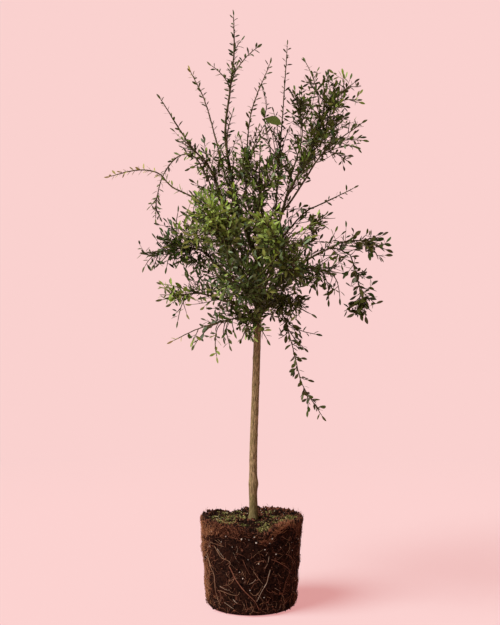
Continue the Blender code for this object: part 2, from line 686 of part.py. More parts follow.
def ball_profile():
    """Half the root ball's outline, from the top's centre over the rim and down to the foot's centre."""
    soil = BALL_HEIGHT - SOIL_DIP
    top = [(0, soil), (SOIL_PLATE_RADIUS * 0.6, soil), (SOIL_PLATE_RADIUS, soil)]
    top += [(radius, soil + SOIL_DIP * ((radius - 0.03) / 0.095) ** 2) for radius in (0.050, 0.078, 0.105)]
    rim = [(BALL_TOP_RADIUS - 0.010, BALL_HEIGHT), (BALL_TOP_RADIUS, BALL_HEIGHT - 0.008)]
    rings = 6
    side = []
    for ring in range(1, rings):
        height = BALL_HEIGHT - 0.008 - (BALL_HEIGHT - 0.008 - BALL_FOOT_ROUND) * ring / rings
        slope = (BALL_TOP_RADIUS - BALL_FOOT_RADIUS) / BALL_HEIGHT
        side.append((BALL_FOOT_RADIUS + slope * height, height))
    foot = []
    for step in range(3):
        angle = step * math.pi / 4
        foot.append((
            BALL_FOOT_RADIUS - BALL_FOOT_ROUND * (1 - math.cos(angle)),
            BALL_FOOT_ROUND * (1 - math.sin(angle)),
        ))
    return [*top, *rim, *side, *foot, (BALL_FOOT_RADIUS * 0.5, 0), (0, 0)]


def roughened(point):
    """A point of the turned root ball, moved as in crumbling soil. The foot and the top patch stay flat."""
    radius = math.hypot(point.x, point.y)
    if point.z < 1e-5 or (point.z > BALL_HEIGHT / 2 and radius < SOIL_PLATE_RADIUS * 1.05):
        return point
    lump = noise.noise(point * BALL_ROUGH_SCALE) * BALL_ROUGHNESS
    ease = min(1, point.z / 0.02)
    out = Vector((point.x, point.y, 0)).normalized()
    bite = Vector((math.cos(BITE_ANGLE), math.sin(BITE_ANGLE), 0)) * BALL_TOP_RADIUS
    near = math.exp(-((point.x - bite.x) ** 2 + (point.y - bite.y) ** 2) / BITE_WIDTH**2)
    fall = BITE_DEPTH * near * max(0, min(1, (point.z - 0.10) / 0.12))
    on_top = 1.0 if radius < BALL_TOP_RADIUS - 0.015 and point.z > BALL_HEIGHT / 2 else 0.3
    return point + out * lump * ease * (1.3 - on_top) + Vector((0, 0, lump * 1.6 * on_top * ease - fall))


def build_root_ball(collection):
    outline = bpy.data.meshes.new("root_ball_outline")
    points = [(radius, 0, height) for radius, height in ball_profile()]
    outline.from_pydata(points, [(i, i + 1) for i in range(len(points) - 1)], [])
    obj = add_object("root_ball", outline, collection)
    screw = obj.modifiers.new("turned", "SCREW")
    screw.angle = math.tau
    screw.steps = BALL_SIDES
    screw.render_steps = BALL_SIDES
    screw.use_merge_vertices = True
    screw.merge_threshold = 0.00005
    mesh = baked_mesh(obj)
    obj.modifiers.clear()
    for vert in mesh.vertices:
        vert.co = roughened(vert.co)
    obj.data = mesh
    finish_object(obj, SOIL)


def build_foliage(grown, collection):
    """All the stems and arms first, as they keep each other's leaves off, and then each mass in turn."""
    obstacles = [(name, tree_of(bpy.data.objects[name].data)) for name in grown]
    lines, arms = {}, {}
    for mass in MASSES:
        lines[mass.name] = mass_lines(mass, grown)
        stem, radii = lines[mass.name][0]
        obj = add_object(mass.name, tube(stem, radii, STEM_SIDES), collection)
        if mass.limb == "trunk":
            cut_clear(obj, "trunk", grown)
        arms[mass.name] = [tube(arm, radii, TWIG_SIDES) for arm, radii in lines[mass.name][1:]]
        obstacles += [(mass.name, tree_of(mesh)) for mesh in (obj.data, *arms[mass.name])]
    spaces = Spaces(lines)
    for mass in MASSES:
        build_mass(mass, lines[mass.name], spaces, obstacles, bpy.data.objects[mass.name], arms[mass.name])


def main():
    clear_scene()
    collection = new_collection("standard_tree")
    new_collection("helpers", hidden=True)
    build_root_ball(collection)
    grown = {"trunk": build_trunk(collection)}
    for limb in LIMBS:
        build_limb(limb, grown, collection)
    build_foliage(grown, collection)


if __name__ == "__main__":
    main()
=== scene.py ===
"""Looks of the small standard tree: its bark, twigs, thorns and leaves, and the crumbling root
ball that it stands on.

Metres, +Z up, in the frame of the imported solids. The front is -Y.
"""

import json
import math
import random
from collections import namedtuple

import bmesh
import bpy
import numpy as np
from mathutils import Matrix, Vector, noise

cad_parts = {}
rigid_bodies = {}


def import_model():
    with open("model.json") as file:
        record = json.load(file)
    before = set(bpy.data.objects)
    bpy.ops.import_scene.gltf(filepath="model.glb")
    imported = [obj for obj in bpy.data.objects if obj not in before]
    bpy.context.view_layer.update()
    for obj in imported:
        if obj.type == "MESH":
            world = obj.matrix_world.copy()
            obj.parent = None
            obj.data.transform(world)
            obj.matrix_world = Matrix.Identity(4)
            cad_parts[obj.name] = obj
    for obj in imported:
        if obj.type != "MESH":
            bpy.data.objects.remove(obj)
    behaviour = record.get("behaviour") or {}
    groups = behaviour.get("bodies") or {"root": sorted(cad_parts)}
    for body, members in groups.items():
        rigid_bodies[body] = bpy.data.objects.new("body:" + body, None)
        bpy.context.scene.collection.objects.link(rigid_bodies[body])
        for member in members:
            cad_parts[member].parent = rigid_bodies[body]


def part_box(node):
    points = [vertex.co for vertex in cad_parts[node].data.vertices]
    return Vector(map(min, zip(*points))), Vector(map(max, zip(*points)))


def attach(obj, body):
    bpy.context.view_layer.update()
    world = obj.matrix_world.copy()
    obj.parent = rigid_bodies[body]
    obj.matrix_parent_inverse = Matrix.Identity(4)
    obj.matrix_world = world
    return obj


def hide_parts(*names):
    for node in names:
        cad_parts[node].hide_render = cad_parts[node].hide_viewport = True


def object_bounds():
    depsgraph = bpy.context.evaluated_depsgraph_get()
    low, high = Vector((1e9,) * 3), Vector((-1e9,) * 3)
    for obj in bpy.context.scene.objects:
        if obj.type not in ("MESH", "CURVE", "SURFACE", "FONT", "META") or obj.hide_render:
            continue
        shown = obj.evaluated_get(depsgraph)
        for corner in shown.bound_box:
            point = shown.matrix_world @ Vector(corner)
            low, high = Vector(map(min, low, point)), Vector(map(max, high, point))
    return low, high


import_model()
CAD_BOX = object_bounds()

GOLDEN_ANGLE = math.radians(137.5)

# Camera and light

CAMERA_PLACE = (-0.004, -2.55, 0.7185)
FOCAL_PIXELS = 951
FRAME_HEIGHT = 625
HORIZON_BELOW_MIDDLE = 23.5
SENSOR = 36
BACKDROP_PINK = (0.956, 0.638, 0.624)
FLOOR_GLOW = (0.685, 0.308, 0.306)
FLOOR_PAPER = (0.236, 0.297, 0.306)
FLOOR_RADIUS = 14
FLOOR_DROP = 0.0004
FLOOR_FADE = (1.6, 3.2)  # distances between which the floor turns into the backdrop
FILL_PINK = (0.19, 0.115, 0.075)
KEY_STRENGTH = 4.7
KEY_SOFTNESS = math.radians(38)
KEY_AZIMUTH = math.radians(-150)
KEY_HEIGHT = math.radians(44)
KEY_WHITE = (1.0, 0.985, 0.955)

# Root ball, as in the solid. Its rim is worn lower at the back left than the solid's, and the bite's right
# side is steeper.

BALL_HEIGHT = 0.235
BALL_TOP_RADIUS = 0.135
BALL_FOOT_RADIUS = 0.119
BALL_FOOT_ROUND = 0.014
RIM_ROUND = 0.006
SOIL_DIP = 0.005
DIP_FLAT = 0.03
DIP_SLOPE = 0.095
SOIL_PLATE_RADIUS = 0.026  # of the level soil under the trunk
PLATE_MARGIN = 1.05
BALL_ROUGHNESS = 0.0050
BALL_ROUGH_SCALE = 38.0
SIDE_EASE = 0.02  # height over which the roughness comes in above the flat underside
TOP_EDGE = 0.015
TOP_ROUGHNESS = 1.6  # against the side's, and the share of it that the side and the rim keep
SIDE_ROUGHNESS = 0.3
FLAT_UNDERSIDE = 1e-5
BITE_ANGLE = math.radians(-76)
BITE_WIDTH = 0.045
BITE_STEEP_WIDTH = 0.030
BITE_DEPTH = 0.023
WORN_ANGLE = math.radians(117)
WORN_WIDTH = 0.034
WORN_DEPTH = 0.012
FALL_START = 0.165  # height from which the soil sinks where the rim is bitten or worn
FALL_LENGTH = 0.06
BITE_PLACE = Vector((math.cos(BITE_ANGLE), math.sin(BITE_ANGLE), 0)) * BALL_TOP_RADIUS
WORN_PLACE = Vector((math.cos(WORN_ANGLE), math.sin(WORN_ANGLE), 0)) * BALL_TOP_RADIUS

# Steps of the soil's skin: round the ball, out over its top, round its rim, down its side, round its foot
# and in under it.
BALL_SIDES = 300
TOP_STEPS = 45
RIM_STEPS = 4
SIDE_STEPS = 112
FOOT_STEPS = 8
FOOT_RINGS = (0.7, 0.4, 0.0)

# Crumbs and pits of the soil's skin: how many to a metre, and how high.
LUMP_SCALE, LUMP_HEIGHT = 75, 0.0022
CRUMB_SCALE, CRUMB_HEIGHT = 130, 0.0042
GRIT_SCALE, GRIT_HEIGHT = 420, 0.0009
CRUMB_EDGE = 0.35
SKIN_SINK = 0.0006
SKIN_EASE = 0.012  # height over which it comes in above the underside

# Trunk

TRUNK_LINE = [
    (0.005, 0, 0.222), (0.005, 0, 0.250), (0.005, 0, 0.400), (0.010, 0.002, 0.550),
    (0.015, 0.002, 0.700), (0.018, 0, 0.780), (0.016, 0, 0.917),
]
TRUNK_FOOT = 0.2303
TRUNK_FOOT_RADIUS = 0.0110
TRUNK_FORK_RADIUS = 0.0092
FLARE_RADIUS = 0.0035
FLARE_HEIGHT = 0.016
UNION_HEIGHT = 0.322
UNION_SWELL = 0.0016
UNION_LENGTH = 0.014
TRUNK_SIDES = 44
TRUNK_RING_GAP = 0.0016
TRUNK_STEP = 0.036  # between the points of the trunk's line that the limbs are set on

# The bark's relief: waves to a metre across and along the trunk, where they start, and how high they are.
BARK_WAVES = ((330, 42, 0, 0.00030), (620, 150, 7, 0.00016), (60, 26, 31, 0.00045))
BARK_EASE = 0.01  # height below the soil over which the relief fades, and the share that stays
BARK_LEFT = 0.3

# Knots and healed cuts on the trunk: (height, angle round from +X, reach over the bark, how far they
# spread). The wide ones are swellings, and the others are ringed scars.
KNOTS = [
    (0.324, -20, 0.0016, 0.010), (0.300, 200, 0.0008, 0.009), (0.592, 10, 0.0012, 0.0035),
    (0.485, -25, 0.0011, 0.0032), (0.453, 5, 0.0010, 0.0030), (0.392, -85, 0.0007, 0.0028),
    (0.357, -80, 0.0008, 0.0030), (0.540, 130, 0.0011, 0.0034), (0.420, 80, 0.0010, 0.0032),
    (0.660, 170, 0.0012, 0.0036), (0.630, -60, 0.0009, 0.0030), (0.700, 60, 0.0012, 0.0036),
]
WIDE_KNOT = 0.005
WIDE_KNOT_SHADE = 0.35
KNOT_SQUASH = 0.8
SCAR_HOLLOW = 0.7
SCAR_RING = 2.2

# Limbs and masses, as in the solids.

TRUNK_JOINT_SHARE = 0.50
LIMB_JOINT_SHARE = 0.75
LEADER_SHARE = 0.98
SKIRT_SHARE = 0.6
JOINT_COLLAR = 0.35
COLLAR_LENGTH = 0.012
LEAD = 0.006
STEM_SUNK = 0.002
STEM_TIP_RADIUS = 0.0009
STEM_FALL = 0.6
SKIRT_ROOT = 0.745
SHOOT_ANGLE = math.radians(55)
SHOOT_RISE = 0.20
SHOOT_TAPER = 0.55
TIP_LEAF = 0.8
TIP_SHARE = 0.85
ARM_LEAST_RADIUS = 0.0014
BEND_AT = 0.45  # share of its length that a shoot runs on before it bends over to its tip

# Steps along the wood, the sides of its tube, and how far its joints are off its line.
LIMB_STEP, LIMB_SIDES, LIMB_KINK = 0.006, 12, 0.00025
STEM_STEP, STEM_SIDES, STEM_KINK = 0.010, 7, 0.0005
SHOOT_KINK = 0.0006
SWELLINGS = (0.92, 1.15)

# Thin wood: its radius at the root and at the tip, the sides of its tube, and the steps along it.
Wood = namedtuple("Wood", "root tip sides step")

SHOOT_WOOD = Wood(0.0013, 0.0006, 5, 0.012)
TWIG_WOOD = Wood(0.0008, 0.0005, 4, 0.012)
WAND_WOOD = Wood(0.0012, 0.0006, 5, 0.012)
FRONT_WOOD = Wood(0.0014, 0.0007, 5, 0.010)

Limb = namedtuple("Limb", "name parent at tip bow radius")
Mass = namedtuple("Mass", "name limb via tip reach bushy habit arms")

# A mass's growth: distances along the wood between side shoots, their twigs and the leaves, a leaf's
# length, its width as a share of that, a twig's length, and the share of the joints that bear a thorn.
Habit = namedtuple("Habit", "shoot_gap twig_gap leaf_gap leaf width twig thorns")

WHIP = Habit(0.040, 0.024, 0.0056, 0.0215, 0.31, 0.022, 0.90)
BARE = Habit(0.050, 0.024, 0.0090, 0.0200, 0.31, 0.022, 0.90)
LIGHT = Habit(0.023, 0.018, 0.0066, 0.0210, 0.34, 0.030, 0.35)
OPEN = Habit(0.019, 0.016, 0.0094, 0.0220, 0.36, 0.032, 0.20)
DENSE = Habit(0.017, 0.014, 0.0103, 0.0240, 0.35, 0.034, 0.12)
LEAFY = Habit(0.014, 0.014, 0.0090, 0.0262, 0.48, 0.028, 0.10)
TRAILING = Habit(0.030, 0.018, 0.0092, 0.0235, 0.42, 0.022, 0.25)
SPURS = Habit(0.021, 0.015, 0.0110, 0.0235, 0.35, 0.036, 0.10)
SPUR_REACH = 0.075
SPUR_START = {"bough": 0.24, "branch": 0.12}

# Limbs whose own shoots stand closer, or farther apart, than on the others.
SPUR_SPACING = {
    "bough_right": 0.65, "bough_low_right": 0.65, "branch_skirt_right": 0.5, "bough_left": 0.6,
    "bough_low_left": 0.7, "bough_upper_right": 1.5, "branch_inner_right": 1.5,
    "branch_outer_right": 1.5, "bough_back_right": 1.3, "bough_right_high": 1.5,
    "branch_spear_right": 1.2, "bough_front_right": 0.6, "bough_front_left": 1.5,
    "bough_upper_left": 1.0, "bough_left_high": 1.2,
}

# How much side shoots, twigs, leaves and thorns vary, as shares of their size or angle.
SHOOT_SIZES = (0.75, 1.1)
SHOOT_TURNS = (0.75, 1.15)
SPUR_SIZES = (0.6, 1.1)
SPUR_GAPS = (0.7, 1.3)
TWIG_SIZES = (0.6, 1.2)
TWIG_ANGLES = (38, 65)
TWIG_RISE = 0.15
TWIG_SHARE = 0.85  # of a shoot that bears twigs
TWIG_START = 0.8  # in gaps between twigs
TWIG_LEAF = 0.95
LEAF_SIZES = (0.72, 1.12)
LEAF_TURNS = (0.7, 1.25)
LEAF_GAPS = (0.8, 1.2)
LEAF_STARTS = (0.4, 0.9)  # in gaps between leaves
LEAF_LAST_GAP = 0.3
LEAF_OUTWARD = (-0.1, 0.9)
LEAF_UPWARD = (0.3, 1.1)
LEAF_TILT = 0.4
LEAF_SET = 0.7  # share of the wood's radius at which a leaf's foot stands
LEAF_MIDDLE = 0.6
LEAF_SUNK = 0.001
TIP_LEAF_SIZE = 0.9
LEAF_FALL = 0.18  # how much smaller the last leaves of a shoot are
THORN_SIZES = (0.6, 1.2)
THORN_ANGLES = (50, 75)
THORN_TURN = 0.5
SHOOT_THORNS = 0.7
TWIG_THORNS = 0.3

# What a shoot tries in turn until its tip is inside its mass: its share of the length, and a turn.
SHOOT_TRIES = ((1, 0), (0.8, 1.8), (0.6, 3.6), (0.45, 0.9))

# An arm's bushy part and its shoots' length, against those of the mass's stem.
ARM_BUSHY = 0.85
ARM_REACH = 0.7

LIMBS = [
    Limb("bough_leader", "trunk", 1, (-0.034, 0.012, 1.065), -0.03, 0.0040),
    Limb("branch_spear_high_left", "bough_leader", 0.72, (-0.064, 0.030, 1.125), -0.05, 0.0024),
    Limb("bough_upper_right", "trunk", 0.960, (0.092, -0.002, 1.085), -0.12, 0.0036),
    Limb("branch_inner_right", "bough_upper_right", 0.72, (0.104, 0.030, 1.140), -0.06, 0.0022),
    Limb("branch_outer_right", "bough_upper_right", 0.82, (0.134, -0.040, 1.120), -0.03, 0.0024),
    Limb("branch_spear_right", "bough_upper_right", 0.48, (0.068, 0.040, 1.090), -0.08, 0.0022),
    Limb("bough_back_top", "trunk", 0.948, (0.026, 0.074, 1.035), -0.10, 0.0028),
    Limb("bough_upper_left", "trunk", 0.936, (-0.070, -0.040, 1.060), -0.10, 0.0030),
    Limb("branch_arch_left", "bough_upper_left", 0.80, (-0.112, -0.050, 1.125), 0.03, 0.0020),
    Limb("bough_top", "trunk", 0.924, (0.020, -0.048, 1.025), -0.10, 0.0028),
    Limb("branch_centre", "bough_top", 0.60, (-0.014, -0.024, 1.085), -0.06, 0.0022),
    Limb("bough_back_right", "trunk", 0.912, (0.060, 0.078, 0.950), 0.00, 0.0028),
    Limb("bough_front_left", "trunk", 0.900, (-0.038, -0.075, 0.930), 0.00, 0.0028),
    Limb("bough_right_high", "trunk", 0.888, (0.082, 0.022, 0.980), -0.05, 0.0026),
    Limb("branch_right_middle", "bough_right_high", 0.55, (0.096, -0.030, 0.975), 0.00, 0.0018),
    Limb("bough_left_high", "trunk", 0.876, (-0.080, -0.045, 0.985), -0.05, 0.0026),
    Limb("bough_back_left", "trunk", 0.864, (-0.048, 0.078, 0.930), 0.00, 0.0028),
    Limb("bough_front_right", "trunk", 0.852, (0.052, -0.075, 0.885), 0.00, 0.0028),
    Limb("bough_right", "trunk", 0.840, (0.231, -0.020, 0.964), 0.08, 0.0022),
    Limb("branch_arc_right", "bough_right", 0.90, (0.256, -0.034, 0.935), 0.10, 0.0016),
    Limb("branch_skirt_right", "bough_right", 0.36, (0.130, -0.050, 0.900), 0.05, 0.0018),
    Limb("bough_left", "trunk", 0.828, (-0.088, -0.012, 0.905), 0.05, 0.0028),
    Limb("bough_back_low", "trunk", 0.816, (0.032, 0.080, 0.835), 0.05, 0.0026),
    Limb("bough_front_low", "trunk", 0.804, (0.002, -0.072, 0.822), 0.05, 0.0026),
    Limb("bough_low_right", "trunk", 0.792, (0.072, -0.026, 0.815), 0.08, 0.0026),
    Limb("branch_trail_right", "bough_low_right", 0.55, (0.074, -0.062, 0.792), 0.10, 0.0016),
    Limb("bough_low_left", "trunk", 0.780, (-0.070, -0.035, 0.810), 0.08, 0.0024),
    Limb("bough_trail_left", "trunk", 0.762, (-0.044, -0.062, 0.764), 0.10, 0.0018),
]

MASSES = [
    Mass("spear_leader", "bough_leader",
         [(-0.070, 0.020, 1.250), (-0.057, 0.010, 1.385), (-0.047, 0.005, 1.480)],
         (-0.048, 0.000, 1.590), 0.085, 0.40, WHIP,
         [(0.63, (0.022, -0.070, 1.482)), (0.60, (-0.114, 0.000, 1.455)),
          (0.80, (-0.022, -0.010, 1.520)), (0.28, (-0.050, 0.000, 1.330)),
          (0.06, (-0.075, -0.025, 1.165)), (0.12, (-0.045, -0.030, 1.205)),
          (0.16, (-0.090, -0.010, 1.235))]),
    Mass("spear_high_left", "branch_spear_high_left", [(-0.122, 0.060, 1.345)],
         (-0.176, 0.100, 1.470), 0.070, 0.30, WHIP, []),
    Mass("spear_left", "bough_upper_left", [(-0.110, -0.065, 1.160), (-0.160, -0.080, 1.215)],
         (-0.240, -0.120, 1.335), 0.090, 0.60, OPEN,
         [(0.34, (-0.170, -0.105, 1.150)), (0.30, (-0.172, -0.070, 1.200)),
          (0.50, (-0.195, -0.085, 1.228))]),
    Mass("whip_arch_left", "branch_arch_left",
         [(-0.148, -0.050, 1.188), (-0.190, -0.042, 1.194), (-0.232, -0.040, 1.145),
          (-0.250, -0.040, 1.080)],
         (-0.254, -0.040, 1.015), 0.050, 0.25, WHIP,
         [(0.80, (-0.272, -0.045, 1.050)), (0.88, (-0.240, -0.035, 1.022))]),
    Mass("whip_left", "bough_left_high",
         [(-0.134, -0.080, 1.066), (-0.205, -0.080, 1.105), (-0.244, -0.080, 1.142),
          (-0.300, -0.080, 1.149)],
         (-0.380, -0.080, 1.130), 0.090, 0.45, WHIP, []),
    Mass("head_left", "bough_left", [(-0.148, -0.015, 0.952)],
         (-0.295, -0.005, 0.940), 0.095, 0.9, DENSE,
         [(0.48, (-0.200, -0.030, 1.060)), (0.80, (-0.297, 0.000, 0.896)),
          (0.62, (-0.245, -0.020, 0.915)), (0.45, (-0.250, -0.040, 0.975)),
          (0.40, (-0.185, -0.060, 0.915)), (0.35, (-0.220, -0.050, 0.945)),
          (0.08, (-0.150, -0.060, 0.900)), (0.15, (-0.165, -0.040, 0.885)),
          (0.30, (-0.205, -0.030, 0.905)), (0.60, (-0.235, -0.010, 0.890))]),
    Mass("head_low_left", "bough_low_left", [(-0.142, -0.070, 0.830)],
         (-0.245, -0.090, 0.810), 0.085, 0.9, DENSE,
         [(0.50, (-0.200, -0.080, 0.745)), (0.30, (-0.250, -0.040, 0.860)),
          (0.10, (-0.110, -0.100, 0.870)), (0.55, (-0.255, -0.075, 0.825))]),
    Mass("trail_left", "bough_trail_left", [(-0.115, -0.090, 0.745), (-0.155, -0.090, 0.730)],
         (-0.215, -0.100, 0.700), 0.070, 0.7, TRAILING,
         [(0.25, (-0.160, -0.060, 0.685)), (0.15, (-0.095, -0.070, 0.650)),
          (0.10, (-0.078, -0.070, 0.700)), (0.05, (-0.060, -0.060, 0.680)),
          (0.02, (-0.045, -0.080, 0.715))]),
    Mass("skirt_front", "trunk", [(0.004, -0.050, 0.772)],
         (-0.030, -0.140, 0.700), 0.080, 0.9, DENSE,
         [(0.30, (0.045, -0.105, 0.700))]),
    Mass("head_front_left", "bough_front_left", [],
         (-0.115, -0.225, 1.025), 0.115, 1, DENSE,
         [(0.30, (-0.175, -0.130, 1.050)), (0.25, (-0.025, -0.165, 1.110)),
          (0.45, (-0.145, -0.120, 1.090))]),
    Mass("head_front_low", "bough_front_low", [],
         (-0.070, -0.225, 0.865), 0.115, 1, DENSE,
         [(0.25, (0.050, -0.200, 0.840))]),
    Mass("head_front_right", "bough_front_right", [],
         (0.105, -0.220, 0.970), 0.115, 1, DENSE,
         [(0.30, (0.020, -0.235, 1.020)), (0.25, (0.120, -0.150, 0.850)), (0.20, (0.130, -0.140, 0.860)),
          (0.35, (0.130, -0.150, 0.880))]),
    Mass("spear_centre", "branch_centre", [(-0.004, -0.050, 1.290)],
         (0.052, -0.080, 1.438), 0.085, 0.4, WHIP,
         [(0.10, (0.020, -0.060, 1.240)), (0.15, (-0.030, -0.040, 1.250)),
          (0.25, (0.020, -0.055, 1.275)), (0.20, (0.050, -0.060, 1.268)),
          (0.15, (0.038, -0.055, 1.285))]),
    Mass("head_top", "bough_top", [],
         (0.022, -0.080, 1.215), 0.110, 1, OPEN,
         [(0.30, (0.075, -0.130, 1.130)), (0.35, (-0.055, -0.070, 1.185)),
          (0.15, (-0.040, -0.075, 1.110))]),
    Mass("head_top_right", "bough_upper_right", [(0.150, -0.010, 1.200), (0.213, -0.010, 1.340)],
         (0.284, -0.020, 1.402), 0.085, 1, OPEN,
         [(0.60, (0.233, 0.060, 1.418)), (0.70, (0.284, -0.090, 1.334)), (0.55, (0.190, -0.070, 1.382)),
          (0.45, (0.148, 0.070, 1.486)), (0.35, (0.255, -0.055, 1.305)), (0.20, (0.215, -0.040, 1.265)),
          (0.32, (0.255, -0.030, 1.312))]),
    Mass("head_inner_right", "branch_inner_right", [(0.140, 0.080, 1.278)],
         (0.120, 0.120, 1.420), 0.060, 0.9, OPEN,
         [(0.70, (0.145, 0.100, 1.390)), (0.55, (0.140, 0.100, 1.415)), (0.75, (0.118, 0.110, 1.405))]),
    Mass("head_outer_right", "branch_outer_right", [(0.190, -0.065, 1.200)],
         (0.295, -0.100, 1.275), 0.075, 1, OPEN,
         [(0.55, (0.300, -0.100, 1.225)), (0.40, (0.262, -0.080, 1.172)),
          (0.30, (0.250, -0.080, 1.218))]),
    Mass("spear_right", "branch_spear_right", [(0.085, 0.070, 1.315)],
         (0.100, 0.080, 1.535), 0.085, 0.5, BARE,
         [(0.30, (0.034, 0.045, 1.312)), (0.20, (0.030, 0.030, 1.262)), (0.08, (0.055, 0.050, 1.285)),
          (0.25, (0.060, 0.060, 1.345)), (0.20, (0.105, 0.075, 1.300))]),
    Mass("head_right_high", "bough_right_high", [(0.146, 0.040, 1.055), (0.204, 0.050, 1.085)],
         (0.292, 0.060, 1.130), 0.095, 0.6, LIGHT, []),
    Mass("head_right_middle", "branch_right_middle", [],
         (0.212, -0.050, 1.042), 0.080, 1, DENSE, []),
    Mass("head_right", "bough_right", [(0.290, -0.020, 0.972)],
         (0.372, -0.030, 0.942), 0.050, 1, LEAFY,
         [(0.40, (0.352, 0.000, 0.992)), (0.50, (0.346, -0.040, 0.908))]),
    Mass("arc_right", "branch_arc_right", [(0.274, -0.030, 0.894), (0.290, -0.030, 0.830)],
         (0.306, -0.030, 0.754), 0.045, 0.95, LEAFY,
         [(0.60, (0.235, -0.030, 0.770)), (0.45, (0.340, -0.030, 0.790)), (0.75, (0.262, -0.030, 0.764)),
          (0.70, (0.326, -0.030, 0.812)), (0.80, (0.280, -0.030, 0.775)), (0.85, (0.264, -0.030, 0.778)),
          (0.78, (0.292, -0.030, 0.768))]),
    Mass("skirt_right", "branch_skirt_right", [],
         (0.250, -0.060, 0.880), 0.080, 0.9, DENSE,
         [(0.35, (0.210, -0.050, 0.800)), (0.60, (0.240, -0.050, 0.805)), (0.05, (0.130, -0.080, 0.850)),
          (0.02, (0.115, -0.070, 0.875)), (0.15, (0.150, -0.060, 0.855)), (0.30, (0.175, -0.070, 0.850)),
          (0.22, (0.178, -0.055, 0.828))]),
    Mass("head_low_right", "bough_low_right", [],
         (0.172, -0.020, 0.770), 0.090, 1, DENSE,
         [(0.20, (0.120, -0.110, 0.755)), (0.30, (0.135, -0.040, 0.840)), (0.05, (0.095, -0.085, 0.788)),
          (0.10, (0.070, -0.065, 0.775)), (0.45, (0.165, -0.030, 0.828))]),
    Mass("trail_right", "branch_trail_right",
         [(0.090, -0.080, 0.747), (0.105, -0.090, 0.695), (0.120, -0.090, 0.630),
          (0.135, -0.090, 0.585)],
         (0.190, -0.090, 0.500), 0.040, 1.0, TRAILING,
         [(0.14, (0.145, -0.060, 0.675)), (0.08, (0.180, -0.070, 0.715)), (0.74, (0.148, -0.090, 0.512)),
          (0.80, (0.174, -0.085, 0.528))]),
    Mass("head_back_left", "bough_back_left", [],
         (-0.130, 0.215, 1.065), 0.115, 1, DENSE,
         [(0.30, (-0.200, 0.130, 0.980)), (0.50, (-0.050, 0.250, 1.100))]),
    Mass("head_back_right", "bough_back_right", [],
         (0.135, 0.215, 1.040), 0.115, 1, OPEN,
         [(0.25, (0.205, 0.125, 0.985))]),
    Mass("head_back_low", "bough_back_low", [],
         (0.060, 0.225, 0.840), 0.115, 1, DENSE,
         [(0.20, (-0.080, 0.185, 0.860)), (0.25, (0.150, 0.150, 0.860))]),
    Mass("head_back_top", "bough_back_top", [],
         (0.045, 0.140, 1.225), 0.110, 1, OPEN,
         [(0.30, (-0.060, 0.120, 1.180))]),
]

